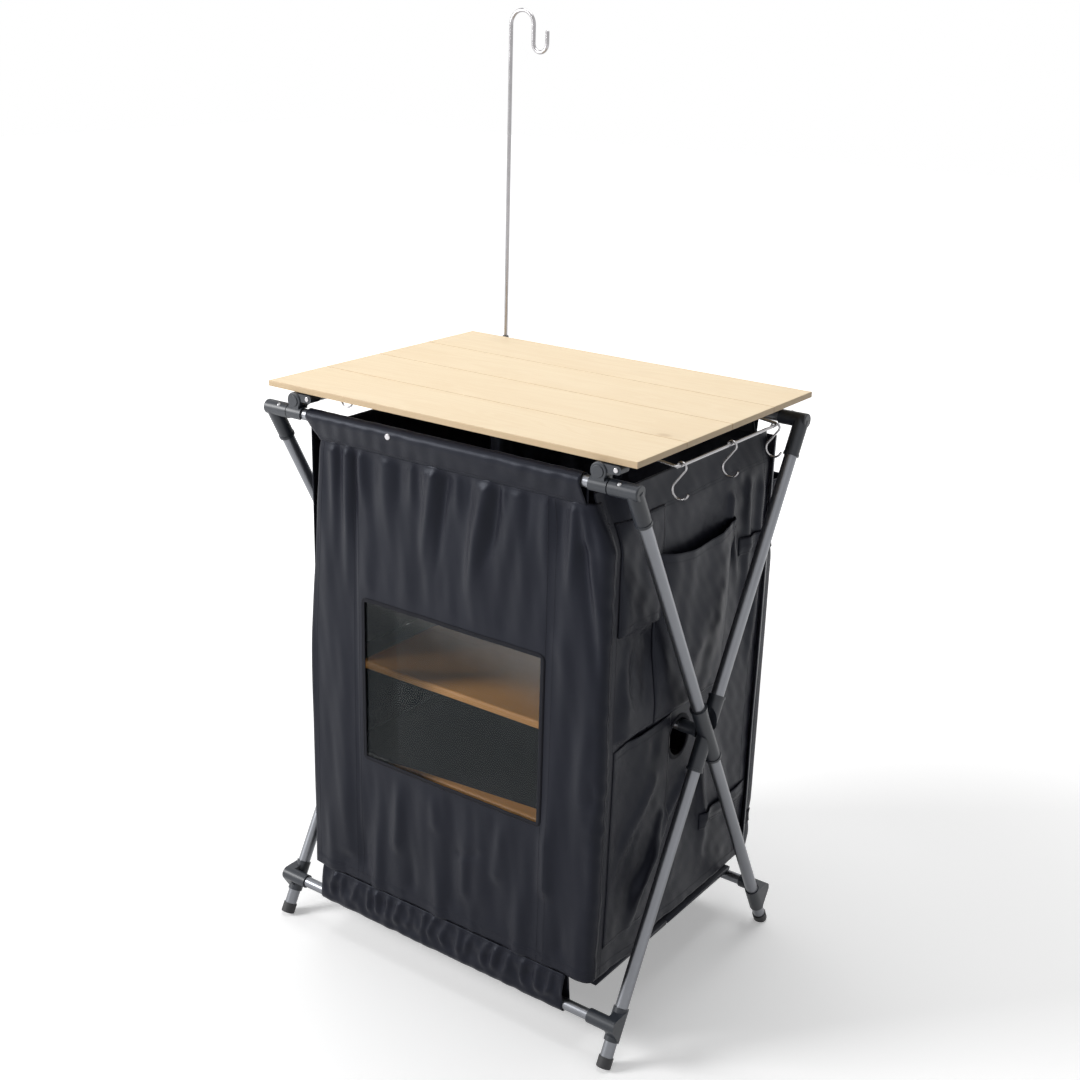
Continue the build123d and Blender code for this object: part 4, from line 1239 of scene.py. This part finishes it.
    def place(self, a: Array, b: Array) -> Array:
        """The point of the door: straight across, then round the corner, stood off by its folds.

        Args:
            a: Distance across the cut.
            b: Distance down the cut.

        Returns:
            The points.
        """
        z = self.top - b
        low, high = self.window.centre[0] - self.window.half[0], self.window.centre[0] + self.window.half[0]
        left = self.left_edge[0] + (self.left_edge[1] - self.left_edge[0]) * smoothstep(0.42, 0.86, z)
        wide = np.where(a < low, low + (a - low) * (left - low) / (self.left - low), a)
        flat = right_edge(z) - self.corner - high
        full = flat + self.corner * math.pi / 2 + self.lap
        run = np.maximum(a - high, 0.0) * full / (self.right - high)
        wide = np.where(a > high, high + run, wide)
        turn = np.clip((run - flat) / self.corner, 0.0, math.pi / 2)
        beyond = np.maximum(run - flat - self.corner * math.pi / 2, 0.0)
        straight = np.minimum(wide, high + flat)
        x = np.where(a > high, straight + self.corner * np.sin(turn), wide)
        y = -PANEL_Y + self.corner * (1.0 - np.cos(turn)) + beyond
        lift = self.lift(wide, z)
        return np.stack([x + lift * np.sin(turn), y - lift * np.cos(turn), z], axis=-1)

    def lift(self, x: Array, z: Array) -> Array:
        """How far the cloth stands out: its folds and soft waves, calmer at the band and by the window.

        Args:
            x: Distance right of the middle.
            z: Height above the floor.

        Returns:
            The distance at each place.
        """
        loose = folds_lift(self.folds, x, z)
        loose = loose * 0.85 + 0.0019 * ripple(x, z, 5, 0.048, 14.0) + 0.0003 * ripple(x, z, 6, 0.020, 6.0)
        away = self.window.gap(x, self.top - z)
        calm = 0.35 + 0.65 * smoothstep(0.004, 0.030, away)
        under_band = 1.0 - 0.8 * smoothstep(0.768, 0.782, z)
        corner = 1.0 - 0.6 * smoothstep(0.255, 0.275, x)
        pucker = sum(-0.0010 * bump(seam, 0.0022, x) for seam in self.seams)
        pucker = pucker + 0.0012 * ripple(z, 0.0 * z, 9, 0.022) * smoothstep(0.238, 0.268, x) * under_band
        height = z - (self.top - self.drop)
        edge = 0.0008 * smoothstep(self.hem + 0.001, self.hem - 0.001, height)
        lift = loose * calm * under_band * corner + pucker + edge + 0.001
        return lift + (np.maximum(lift, 0.0012) - lift) * smoothstep(0.040, 0.010, height)

    def build(self) -> None:
        """Make the door, its window and its stitches."""
        a, b = spaced(self.left, self.right, 0.0030), spaced(0.0, self.drop, 0.0032)
        door = self.sheet("door_cloth", a, b, self.window.gap)
        wear(door, "door", "cloth", self.finishes.cloth, "front_panel", bend=self.bend)
        binding = self.trim("window_tape", self.window, self.binding, 0.0003)
        wear(binding, "door", "binding", self.finishes.binding, "window_binding")
        film = WindowFilm(self).make()
        wear(film, "door", "film", self.finishes.film, "window_film")
        wear(self.stitches().make("door_stitches"), "door", "binding", self.finishes.thread, bend=self.bend)

    def stitches(self) -> Mesh:
        """The rows of thread: beside the window, round it, at the hem and along both edges."""
        down = spaced(0.004, self.drop - 0.003, SEAM_STEP)
        sides = (-self.seam_half, self.seam_half)
        rows = [self.seam(seam + side, down) for seam in self.seams for side in sides]
        rows.append(self.seam(self.left + self.hem * 0.7, down))
        rows.append(self.seam(self.right - 0.004, down))
        rows.append(self.seam(spaced(self.left, self.right, SEAM_STEP), self.drop - self.hem))
        loop_a, loop_b, out_a, out_b = self.window.loop(TAPE_PITCH)
        ring_a, ring_b = loop_a + out_a * self.binding * 0.28, loop_b + out_b * self.binding * 0.28
        rows.append(self.seam(np.append(ring_a, ring_a[0]), np.append(ring_b, ring_b[0]), 0.0012))
        return together(*rows)


@dataclass
class WindowFilm(Cloth):
    """The clear film behind the door's opening, lapped under its binding."""

    door: FrontDoor
    lap: float = 0.004
    thickness: float = 0.0005

    def place(self, a: Array, b: Array) -> Array:
        """The point of the film: the door's, set back, with its own shallow waves."""
        back = 0.0013 - 0.0006 * ripple(a, b, 21, 0.16, 1.6)
        return self.door.place(a, b) - self.door.normal(a, b) * back[..., None]

    def make(self) -> Piece:
        """Make the film over the opening and its laps."""
        (a, b), (half_a, half_b) = self.door.window.centre, self.door.window.half
        across = spaced(a - half_a - self.lap, a + half_a + self.lap, 0.004)
        down = spaced(b - half_b - self.lap, b + half_b + self.lap, 0.004)
        return self.sheet("window_film_sheet", across, down)


@dataclass
class BarSleeve(Cloth):
    """A sleeve of cloth round a bar, its two tails sewn together beyond it.

    Its section is a straight line from the inner tail to the circle round the bar, the far side of the
    circle, and a straight line to the outer tail. Across runs along the bar, down round the section.
    """

    end: End
    bar: Pair
    tail: float
    radius: float = 0.0100
    plane: float = PANEL_Y
    spread: float = 0.0019
    half: Pair = (0.225, 0.225)
    slant: Pair = (0.0, 0.0)
    folds: tuple[Fold, ...] = ()
    waves: float = 0.0008
    seed: int = 3
    inner_rise: float = 0.0
    inner_back: float = 0.0

    def __post_init__(self) -> None:
        """Work out the section: the tangents from both tail ends to the circle, by their angles."""
        height = abs(self.tail - self.bar[1])
        inner = self.plane - self.bar[0] - self.spread - self.inner_back
        outer = self.plane - self.bar[0] + self.spread
        tangent = [
            math.atan2(high, out) + side * math.acos(self.radius / math.hypot(out, high))
            for out, high, side in ((inner, height + self.inner_rise, 1), (outer, height, -1))
        ]
        turn = np.linspace(tangent[0], tangent[1] + 2 * math.pi, 60)
        arc = np.stack([np.cos(turn), np.sin(turn)], axis=1) * self.radius
        self.section = np.vstack([[inner, height + self.inner_rise], arc, [outer, height]])
        self.run = run_along(self.section)
        ahead = unit(np.gradient(self.section, self.run, axis=0))
        self.away = np.stack([ahead[:, 1], -ahead[:, 0]], axis=1)

    def place(self, a: Array, b: Array) -> Array:
        """The point of the sleeve, its ends slanted with the height of the tail.

        Args:
            a: Distance across the cut.
            b: Distance down the cut.

        Returns:
            The points.
        """
        out, high = (np.interp(b, self.run, self.section[:, k]) for k in range(2))
        share = np.clip(high / abs(self.tail - self.bar[1]), 0.0, 1.0)
        left, right = -self.half[0] + self.slant[0] * share, self.half[1] + self.slant[1] * share
        up = 1 if self.tail > self.bar[1] else -1
        along = (a + self.half[0]) / (self.half[0] + self.half[1])
        x = left + (right - left) * (along if up * self.end.value > 0 else 1.0 - along)
        outside = smoothstep(0.55, 0.75, b / self.run[-1])
        held = 1.0 - 0.85 * smoothstep(0.93, 1.0, b / self.run[-1])
        lift = folds_lift(self.folds, x, high) * outside * held
        lift = lift + self.waves * ripple(x, b, self.seed, 0.030, 1.3) * held * (0.3 + 0.7 * outside)
        out = out + lift * np.interp(b, self.run, self.away[:, 0])
        high = high + lift * np.interp(b, self.run, self.away[:, 1])
        return np.stack([x, self.end.value * (self.bar[0] + out), self.bar[1] + up * high], axis=-1)

    def build(self, name: str, body: str, finishes: Finishes, node: str, flat: Pair) -> None:
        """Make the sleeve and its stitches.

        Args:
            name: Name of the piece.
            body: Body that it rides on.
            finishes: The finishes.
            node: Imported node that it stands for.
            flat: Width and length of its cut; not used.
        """
        a = spaced(-self.half[0], self.half[1], 0.0035)
        piece = self.sheet(name, a, spaced(0.0, self.run[-1], 0.0014))
        wear(piece, body, "cloth", finishes.cloth, node)
        thread = self.seam(a, self.run[-1] - 0.005)
        wear(thread.make(f"{name}_stitches"), body, "binding", finishes.thread)


@dataclass
class RearPanel(Cloth):
    """The rear curtain: a plain sheet hung from the rear band, in soft upright folds."""

    finishes: Finishes
    top: float = 0.7835
    drop: float = 0.6705
    half: float = 0.2535
    middle: float = 0.010
    stand: float = 0.0025
    wrap: Pair = (0.0030, 0.0120)
    hem: float = 0.014
    seam_reach: float = 0.2325

    def place(self, a: Array, b: Array) -> Array:
        """The point of the panel; across runs towards the left, and both edges wrap forwards.

        Args:
            a: Distance across the cut.
            b: Distance down the cut.

        Returns:
            The points.
        """
        x, z = self.middle - a, self.top - b
        calm = 1.0 - 0.8 * smoothstep(0.768, 0.782, z)
        lift = (0.0022 * ripple(x, z, 31, 0.055, 7.0) + 0.0006 * ripple(x, z, 32, 0.02, 3.0)) * calm
        lift = lift + 0.0008 * smoothstep(self.hem + 0.001, self.hem - 0.001, z - self.top + self.drop)
        turned = self.wrap[1] * smoothstep(self.half - self.wrap[0], self.half, np.abs(a))
        return np.stack([x, PANEL_Y + self.stand + lift - turned, z], axis=-1)

    def build(self) -> None:
        """Make the panel and its stitches."""
        a, b = spaced(-self.half, self.half, 0.0035), spaced(0.0, self.drop, 0.0045)
        panel = self.sheet("rear_cloth", a, b)
        wear(panel, "rear_curtain", "cloth", self.finishes.cloth, "rear_panel")
        down = spaced(0.004, self.drop - 0.004, SEAM_STEP)
        edges = (self.seam(edge, down) for edge in (-self.seam_reach, self.seam_reach))
        rows = together(self.seam(a, self.drop - self.hem), *edges)
        wear(rows.make("rear_stitches"), "rear_curtain", "binding", self.finishes.thread)


@dataclass
class SidePanel(Cloth):
    """A side of the cupboard: a sheet from the top bars to the floor, with a hemmed hole for the hub.

    Across is the distance to the back on the right side and to the front on the left, down the drop.
    """

    side: Side
    finishes: Finishes
    top: float = 0.795
    drop: float = 0.705
    reach: float = 0.2583
    half: float = 0.203
    band: float = 0.040
    hem: float = 0.016
    middle: float = 0.010
    seam_reach: float = 0.183
    foot: tuple[Pair, ...] = ((-0.203, 0.109), (-0.095, 0.098), (-0.029, 0.113), (0.093, 0.111), (0.203, 0.112))
    folds: tuple[Fold, ...] = ()
    hole: Keyhole = Keyhole((0.0, 0.386), 0.026, (0.0, 0.410), 0.019)

    def overhang(self, y: Array, z: Array) -> Array:
        """The loose upper cloth of the right side, swelling down to a crease that hangs over the lower part.

        Args:
            y: Distance back from the middle.
            z: Height above the floor.

        Returns:
            How far it stands out at each place.
        """
        if self.side is Side.LEFT:
            return np.zeros(np.broadcast(y, z).shape)
        line = 0.456 + 0.05 * (y + 0.075) ** 2
        swell = 0.011 * smoothstep(0.600, line + 0.012, z) ** 1.3 * smoothstep(line - 0.002, line + 0.0035, z)
        return swell * smoothstep(0.040, -0.010, y) * smoothstep(-0.196, -0.176, y)

    def outer(self, y: Array, z: Array) -> Array:
        """How far out the panel stands: its base, folds, and its front edge, which meets the door.

        Args:
            y: Distance back from the middle.
            z: Height above the floor.

        Returns:
            The distance from the middle at each place.
        """
        base = self.reach - 0.010 * smoothstep(0.74, 0.80, z) - 0.002 * smoothstep(0.2, 0.1, z)
        lift = folds_lift(self.folds, y, z)
        lift = lift + 0.0014 * ripple(y, z, 40 + self.side.value, 0.075, 3.0)
        lift = lift + 0.0005 * ripple(y, z, 44 + self.side.value, 0.022, 1.5)
        hub = np.hypot(y, z - PIVOT_Z + 0.012)
        lift = lift * (0.25 + 0.75 * smoothstep(0.035, 0.085, hub)) * (1 - 0.5 * smoothstep(0.755, 0.775, z))
        front = smoothstep(-0.155, -0.188, y)
        door = (right_edge(z) if self.side is Side.RIGHT else self.reach) - 0.0028
        return (base + lift + self.overhang(y, z)) * (1 - front) + door * front

    def place(self, a: Array, b: Array) -> Array:
        """The point of the panel, its foot drawn to an uneven line.

        Args:
            a: Distance across the cut.
            b: Distance down the cut.

        Returns:
            The points.
        """
        y, z = self.side.value * a, self.top - b
        foot = np.interp(y, *np.array(self.foot).T)
        z = z + (foot - (self.top - self.drop)) * smoothstep(0.32, self.top - self.drop, z)
        x = self.side.value * self.outer(y, z)
        x = x + (0.0 if self.side is Side.RIGHT else self.middle * 2.0)
        return np.stack([x, y, z], axis=-1)

    def dress(self, piece: Piece, slot: str, finish: Material, *nodes: str) -> None:
        """Let a piece of this side ride on the middle, with a mesh of its own."""
        wear(piece, "centre", slot, finish, *nodes)
        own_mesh(piece)

    def build(self) -> None:
        """Make the panel, the tape round its hole and its stitches."""
        word = self.side.name.lower()
        step = 0.0030 if self.side is Side.RIGHT else 0.0045
        a, b = spaced(-self.half, self.half, step), spaced(0.0, self.drop, step)
        panel = self.sheet(f"{word}_cloth", a, b, self.hole.gap)
        self.dress(panel, "cloth", self.finishes.cloth, f"side_panel_{word}")
        self.dress(self.trim(f"{word}_hole_tape", self.hole, 0.006), "binding", self.finishes.binding)
        down = spaced(0.004, self.drop - 0.004, SEAM_STEP)
        rows = [self.seam(a, drop) for drop in (self.drop - self.hem, self.band, self.band + 0.004)]
        rows += [self.seam(edge, down) for edge in (-self.seam_reach, self.seam_reach)]
        self.dress(together(*rows).make(f"{word}_stitches"), "binding", self.finishes.thread)


def gathers(half: float, count: int, seed: int) -> tuple[Fold, ...]:
    """Short slanted ridges along a sleeve, at seeded uneven places, and a flat seam near its middle.

    Args:
        half: Half the length that they fill.
        count: Number of ridges.
        seed: Seed of their places and sizes.

    Returns:
        The ridges, and the seam last.
    """
    rng = np.random.default_rng(seed)
    places = np.linspace(-half, half, count) + rng.uniform(-0.006, 0.006, count)
    folds = [
        Fold(
            ((x, 0.046), (x + rng.uniform(-0.010, 0.004), 0.022), (x + rng.uniform(-0.014, 0.004), 0.002)),
            rng.uniform(0.0035, 0.0060),
            rng.uniform(0.0030, 0.0055),
            0.0,
            0.6,
        )
        for x in places
    ]
    return (*folds, Fold(((-0.020, 0.050), (-0.022, -0.012)), 0.0022, 0.0022, 0.0, 0.9))


RIGHT_FOLDS = (
    Fold(((0.028, 0.347), (-0.034, 0.286), (-0.105, 0.212), (-0.124, 0.123)), 0.010, 0.007, 0.1, 0.6),
    Fold(((-0.043, 0.317), (-0.090, 0.225)), 0.008, 0.005, 0.2),
    Fold(((0.036, 0.330), (0.000, 0.240), (-0.020, 0.130)), 0.012, 0.005, 0.1, 0.5),
    Fold(((0.050, 0.360), (0.075, 0.250), (0.080, 0.130)), 0.012, 0.006, 0.1, 0.5),
    Fold(((0.060, 0.400), (0.120, 0.300), (0.150, 0.200)), 0.011, 0.005, 0.2, 0.5),
    Fold(((-0.060, 0.380), (-0.140, 0.300), (-0.190, 0.220)), 0.011, 0.005, 0.2, 0.5),
    Fold(((0.093, 0.735), (0.095, 0.695), (0.112, 0.635), (0.137, 0.572)), 0.008, 0.006, 0.1, 0.6),
    Fold(((0.140, 0.745), (0.150, 0.640), (0.155, 0.500)), 0.010, 0.005, 0.1, 0.6),
    Fold(((0.178, 0.745), (0.182, 0.600), (0.180, 0.420)), 0.010, 0.005, 0.1, 0.7),
    Fold(((-0.150, 0.600), (-0.165, 0.540), (-0.160, 0.470)), 0.012, 0.005, 0.2, 0.6),
    Fold(((-0.110, 0.600), (-0.112, 0.530), (-0.120, 0.462)), 0.012, -0.004, 0.1, 0.6),
    Fold(((-0.188, 0.740), (-0.190, 0.680), (-0.198, 0.610)), 0.008, 0.005, 0.1, 0.6),
)


@dataclass
class Patch(Cloth):
    """A pocket or flap sewn on a side panel.

    It stands off the panel by its depth times a flat-topped hump across and a slope down: a pocket is open
    at the top and sewn at the bottom, a flap the other way round. The open edge sags in a parabola.
    """

    panel: SidePanel
    front: float
    rear: float
    low: float
    high: float
    depth: float
    sag: float = 0.0
    flap: bool = False
    folds: tuple[Fold, ...] = ()
    seed: int = 50
    shoulder: float = 5.0
    proud: float = 0.0010

    def place(self, a: Array, b: Array) -> Array:
        """The point of the patch.

        Args:
            a: Distance across the cut.
            b: Distance down the cut.

        Returns:
            The points.
        """
        wide, tall = self.rear - self.front, self.high - self.low
        u, v = 2.0 * a / wide - 1.0, b / tall
        free = v if self.flap else 1.0 - v
        y, z = self.front + a, self.high - b
        z = z - self.sag * (1.0 - u**2) * np.clip(free, 0, 1) ** 2
        hump = 1.0 - np.clip(np.abs(u), 0, 1) ** self.shoulder
        slope = smoothstep(0.0, 0.55, free) if not self.flap else smoothstep(0.0, 0.8, free) * 0.9 + 0.1
        loose = folds_lift(self.folds, y, z) + 0.0012 * ripple(y, z, self.seed, 0.05, 1.8)
        stand = (self.depth * slope + loose) * hump + self.proud
        x = self.panel.outer(y, z) + np.maximum(stand, self.proud)
        return np.stack([x, y, z], axis=-1)

    def build(self, name: str, flat: Pair, *nodes: str) -> None:
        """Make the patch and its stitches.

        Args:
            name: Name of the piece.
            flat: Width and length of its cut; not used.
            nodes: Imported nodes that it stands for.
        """
        wide, tall = self.rear - self.front, self.high - self.low
        a, b = spaced(0.0, wide, 0.0026), spaced(0.0, tall, 0.0030)
        piece = self.sheet(name, a, b)
        self.panel.dress(piece, "cloth", self.panel.finishes.cloth, *nodes)
        hem, sewn, side = 0.012, 0.003, 0.0035
        rows = [self.seam(a, tall - hem if self.flap else hem)]
        rows += [self.seam(edge, b) for edge in (side, wide - side)]
        rows.append(self.seam(a, sewn if self.flap else tall - sewn))
        self.panel.dress(together(*rows).make(f"{name}_stitches"), "binding", self.panel.finishes.thread)


@dataclass
class FloorBoard:
    """One half of the floor board, wrapped in the cloth of the body: a slab with round long edges."""

    end: End
    finishes: Finishes
    grow: float = 0.0004

    def build(self) -> None:
        """Make the slab from its section, a box with half-round ends, carried along X."""
        word = self.end.name.lower()
        node = f"floor_board_{word}"
        low, high = (np.array(corner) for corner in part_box(node))
        low, high = low - self.grow, high + self.grow
        low[0], high[0] = low[0] + self.grow, high[0] - self.grow
        radius = (high[2] - low[2]) / 2
        turn = np.linspace(-math.pi / 2, math.pi / 2, 9)
        y = np.concatenate([high[1] - radius + radius * np.cos(turn), low[1] + radius - radius * np.cos(turn)])
        z = (low[2] + high[2]) / 2 + radius * np.concatenate([np.sin(turn), -np.sin(turn)])
        x = spaced(low[0], high[0], 0.02)
        points = np.stack(np.broadcast_arrays(x[:, None], y[None], z[None]), axis=-1)
        run = run_along(np.stack([y, z], axis=1))
        piece = carried(points, grid_of(x, np.append(run, run[-1] + high[1] - low[1]))).make(f"floor_{word}_cloth")
        wear(piece, f"floor_half_{word}", "cloth", self.finishes.cloth, node)


@dataclass
class SlatCords:
    """The two elastic cords of the tabletop, parted at its joints so that each slat carries its own lengths."""

    finishes: Finishes
    radius: float = 0.0015
    reach: float = 0.200
    inset: float = 0.014
    gap: float = 0.001

    def build(self) -> None:
        """Make the two lengths in each slat: round tubes along Y, halfway up its thickness."""
        for number in range(1, 5):
            low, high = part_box(f"slat_{number}")
            start = low[1] + (self.inset if number == 1 else -self.gap / 2)
            stop = high[1] - (self.inset if number == 4 else -self.gap / 2)
            y = spaced(start, stop, 0.02)
            middle = (low[2] + high[2]) / 2
            paths = (np.stack(np.broadcast_arrays(x, y, middle), axis=1) for x in (-self.reach, self.reach))
            cords = together(*(tube(path, self.radius) for path in paths))
            body = "tabletop" if number == 2 else f"top_slat_{number}"
            nodes = ("slat_cords",) if number == 2 else ()
            wear(cords.make(f"slat_{number}_cords"), body, "cord", self.finishes.cord, *nodes)


@dataclass
class RearPouch(Cloth):
    """A tall narrow bag on the rear panel: a rounded box in plan, flared at its mouth, cinched by its straps."""

    finishes: Finishes
    centre: Pair = (0.226, 0.2310)
    half: Pair = (0.029, 0.0135)
    flare: float = 0.009
    low: float = 0.105
    high: float = 0.715
    straps: Pair = (0.165, 0.620)
    strap_width: float = 0.020
    girth: float = 0.156
    grow: float = 0.0

    def place(self, a: Array, b: Array) -> Array:
        """The point of the bag: a superellipse of power four whose size changes with the height.

        Args:
            a: Distance across the cut.
            b: Distance down the cut.

        Returns:
            The points.
        """
        turn, z = 2.0 * math.pi * a / self.girth, self.high - b
        x, y = np.cos(turn), np.sin(turn)
        size = (x**4 + y**4) ** -0.25
        cinch = sum(bump(strap, 0.016, z) for strap in self.straps)
        wide = 1.0 - 0.10 * cinch + 0.06 * smoothstep(0.665, self.high, z)
        foot = np.sqrt(np.clip((z - self.low) / 0.030, 0.0, 1.0))
        deep = (1.0 - 0.16 * cinch + 0.05 * smoothstep(0.68, self.high, z)) * (0.06 + 0.94 * foot)
        wave = 1.0 + 0.035 * ripple(a, b, 61, 0.05, 2.5) * (1.0 - cinch)
        x = self.centre[0] + x * size * (self.half[0] * wide * (0.88 + 0.12 * foot) + self.grow)
        open_mouth = self.flare * smoothstep(0.640, self.high, z)
        y = self.centre[1] + open_mouth * 0.85 + y * size * (self.half[1] * deep * wave + open_mouth + self.grow)
        return np.stack(np.broadcast_arrays(x, y, z), axis=-1)

    def build(self) -> None:
        """Make the bag, its straps and its stitches."""
        a = spaced(0.0, self.girth, 0.0022)
        bag = self.sheet("pouch_cloth", a, spaced(0.0, self.high - self.low, 0.0040), ring=True)
        wear(bag, "rear_curtain", "cloth", self.finishes.cloth, "rear_pouch")
        rim = self.seam(a, 0.010)
        wear(rim.make("pouch_stitches"), "rear_curtain", "binding", self.finishes.thread)
        strap = RearPouch(self.finishes, grow=0.0016)
        for index, height in enumerate(self.straps):
            drop = self.high - height
            down = spaced(drop - self.strap_width / 2, drop + self.strap_width / 2, 0.0020)
            piece = strap.sheet(f"pouch_strap_{index + 1}", a, down, ring=True)
            nodes = ("pouch_straps",) if index == 0 else ()
            wear(piece, "rear_curtain", "binding", self.finishes.binding, *nodes)


@dataclass
class Studio:
    """Camera, soft lamps, and a pale floor and backdrop."""

    eye: Triple = (1.16775, -1.62510, 1.34138)
    yaw: float = 35.48
    pitch: float = 19.67
    roll: float = 1.56
    lens: float = 49.665
    sensor: float = 36.0
    aim: Triple = (0.0, 0.0, 0.5)
    ground: float = 0.08
    floor_reach: float = 12.0
    floor_top: float = -0.0005
    lamps: tuple[tuple[str, Triple, float, float], ...] = (
        ("key", (-2.7, -2.6, 2.1), 1.3, 126.0),
        ("sky", (-0.2, 0.5, 3.6), 2.4, 70.0),
        ("fill", (3.0, -1.8, 2.4), 1.2, 2.0),
    )

    def camera(self) -> None:
        """Put the camera at the photograph's place; its axes come from yaw, pitch and roll."""
        yaw, pitch, roll = (math.radians(v) for v in (self.yaw, self.pitch, self.roll))
        forward = Vector((-math.sin(yaw) * math.cos(pitch), math.cos(yaw) * math.cos(pitch), -math.sin(pitch)))
        level = Vector((math.cos(yaw), math.sin(yaw), 0.0))
        upright = level.cross(forward)
        right = math.cos(roll) * level + math.sin(roll) * upright
        up = -math.sin(roll) * level + math.cos(roll) * upright
        lens = bpy.data.cameras.new("camera")
        lens.lens, lens.sensor_width = self.lens, self.sensor
        lens.clip_end = 50.0
        camera = bpy.data.objects.new("camera", lens)
        rows = [(right[k], up[k], -forward[k], self.eye[k]) for k in range(3)]
        camera.matrix_world = Matrix([*rows, (0.0, 0.0, 0.0, 1.0)])
        bpy.context.scene.collection.objects.link(camera)
        bpy.context.scene.camera = camera

    def lights(self) -> None:
        """Hang the square lamps, all turned to the middle of the cupboard."""
        for name, place, width, power in self.lamps:
            lamp = bpy.data.lights.new(name, "AREA")
            lamp.size, lamp.energy = width, power
            piece = bpy.data.objects.new(name, lamp)
            piece.location = place
            piece.rotation_euler = (Vector(self.aim) - Vector(place)).to_track_quat("-Z", "Y").to_euler()
            bpy.context.scene.collection.objects.link(piece)

    def backdrop(self) -> None:
        """Light the world softly, and show it white to the camera, through clear film and in metal."""
        world = bpy.data.worlds.new("studio")
        world.use_nodes = True
        bpy.context.scene.world = world
        tree = world.node_tree
        soft, seen = tree.nodes["Background"], tree.nodes.new("ShaderNodeBackground")
        path, mix = tree.nodes.new("ShaderNodeLightPath"), tree.nodes.new("ShaderNodeMixShader")
        clear_ray, any_ray = tree.nodes.new("ShaderNodeMath"), tree.nodes.new("ShaderNodeMath")
        clear_ray.operation = any_ray.operation = "MAXIMUM"
        for glow, strength in ((soft, self.ground), (seen, 1.0)):
            glow.inputs[0].default_value, glow.inputs[1].default_value = (1, 1, 1, 1), strength
        for start, end in (
            (path.outputs["Is Camera Ray"], clear_ray.inputs[0]),
            (path.outputs["Is Transmission Ray"], clear_ray.inputs[1]),
            (clear_ray.outputs[0], any_ray.inputs[0]),
            (path.outputs["Is Glossy Ray"], any_ray.inputs[1]),
            (any_ray.outputs[0], mix.inputs[0]),
            (soft.outputs[0], mix.inputs[1]),
            (seen.outputs[0], mix.inputs[2]),
            (mix.outputs[0], tree.nodes["World Output"].inputs[0]),
        ):
            tree.links.new(start, end)

    def floor(self, finishes: Finishes) -> None:
        """Lay the floor, a wide flat square just under the feet."""
        quads, _ = quads_of(2, 2, False)
        reach = self.floor_reach
        points = np.array([(x, y, self.floor_top) for y in (reach, -reach) for x in (-reach, reach)])
        piece = Mesh(points, [quads], [points[:, :2][quads]]).make("floor")
        piece.data.materials.append(finishes.floor)

    def build(self, finishes: Finishes) -> None:
        """Set the whole studio up."""
        self.camera()
        self.lights()
        self.backdrop()
        self.floor(finishes)
        bpy.context.scene.view_settings.view_transform = "Standard"


def finish_hard_parts(frame: Mapping[str, object], finishes: Finishes) -> None:
    """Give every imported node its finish, by the material slot in the record."""
    for row in frame["record"]["subparts"]:
        piece, finish = frame["nodes"][row["node"]], getattr(finishes, row["material_slot"])
        if not piece.material_slots:
            piece.data.materials.append(finish)
        for slot in piece.material_slots:
            slot.material = finish


def sew_sleeves(finishes: Finishes) -> None:
    """Make the bands round the top bars, then the gathered sleeves round the bottom bars."""
    band = dict(bar=(TOP_BAR_Y, TOP_BAR_Z), tail=0.7815)
    low = dict(
        bar=(LOW_BAR_Y, LOW_BAR_Z),
        tail=0.1115,
        half=(0.223, 0.223),
        waves=0.0016,
        inner_rise=0.012,
        inner_back=0.003,
        folds=gathers(0.223, 21, 8),
    )
    front_band = BarSleeve(End.FRONT, half=(0.225, 0.225), slant=(0.016, 0.004), seed=11, **band)
    front_band.build("front_band_cloth", "front_curtain", finishes, "front_band", (0.450, 0.098))
    rear_band = BarSleeve(End.REAR, half=(0.232, 0.225), slant=(-0.002, 0.004), seed=12, **band)
    rear_band.build("rear_band_cloth", "rear_curtain", finishes, "rear_band", (0.457, 0.098))
    for end, seed, body in ((End.FRONT, 13, "frame_b"), (End.REAR, 14, "frame_a")):
        word = end.name.lower()
        sleeve = BarSleeve(end, seed=seed, **low)
        sleeve.build(f"{word}_low_cloth", body, finishes, f"{word}_low_sleeve", (0.460, 0.135))


def sew_sides(finishes: Finishes) -> None:
    """Make both side panels, and what is sewn on the right one."""
    hole = Keyhole((-0.010, 0.391), 0.028, (-0.008, 0.403), 0.020)
    right = SidePanel(Side.RIGHT, finishes, folds=RIGHT_FOLDS, hole=hole)
    right.build()
    SidePanel(Side.LEFT, finishes).build()
    upper = Patch(right, -0.096, 0.100, 0.447, 0.694, 0.014, 0.012, seed=51)
    upper.build("upper_pocket", (0.230, 0.250), "side_pockets")
    lower = Patch(right, -0.180, -0.034, 0.150, 0.446, 0.003, 0.001, seed=52, shoulder=1.5, folds=RIGHT_FOLDS[:2])
    lower.build("lower_pocket", (0.152, 0.300))
    flap = Patch(right, -0.182, -0.078, 0.606, 0.755, 0.008, flap=True, seed=53)
    flap.build("front_flap", (0.110, 0.152))
    Patch(right, 0.128, 0.200, 0.626, 0.652, 0.003, seed=54).build("upper_strap_tail", (0.074, 0.028))
    Patch(right, 0.063, 0.200, 0.220, 0.246, 0.003, seed=55).build("lower_strap_tail", (0.140, 0.028))


def main() -> None:
    """Build the cupboard's looks in order."""
    logging.basicConfig(level=logging.INFO, format="%(name)s: %(message)s")
    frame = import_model()
    finishes = Finishes()
    Studio().build(finishes)
    finish_hard_parts(frame, finishes)
    FrontDoor(finishes).build()
    sew_sleeves(finishes)
    RearPanel(finishes).build()
    sew_sides(finishes)
    for end in End:
        FloorBoard(end, finishes).build()
    SlatCords(finishes).build()
    RearPouch(finishes).build()


if __name__ == "__main__":
    main()
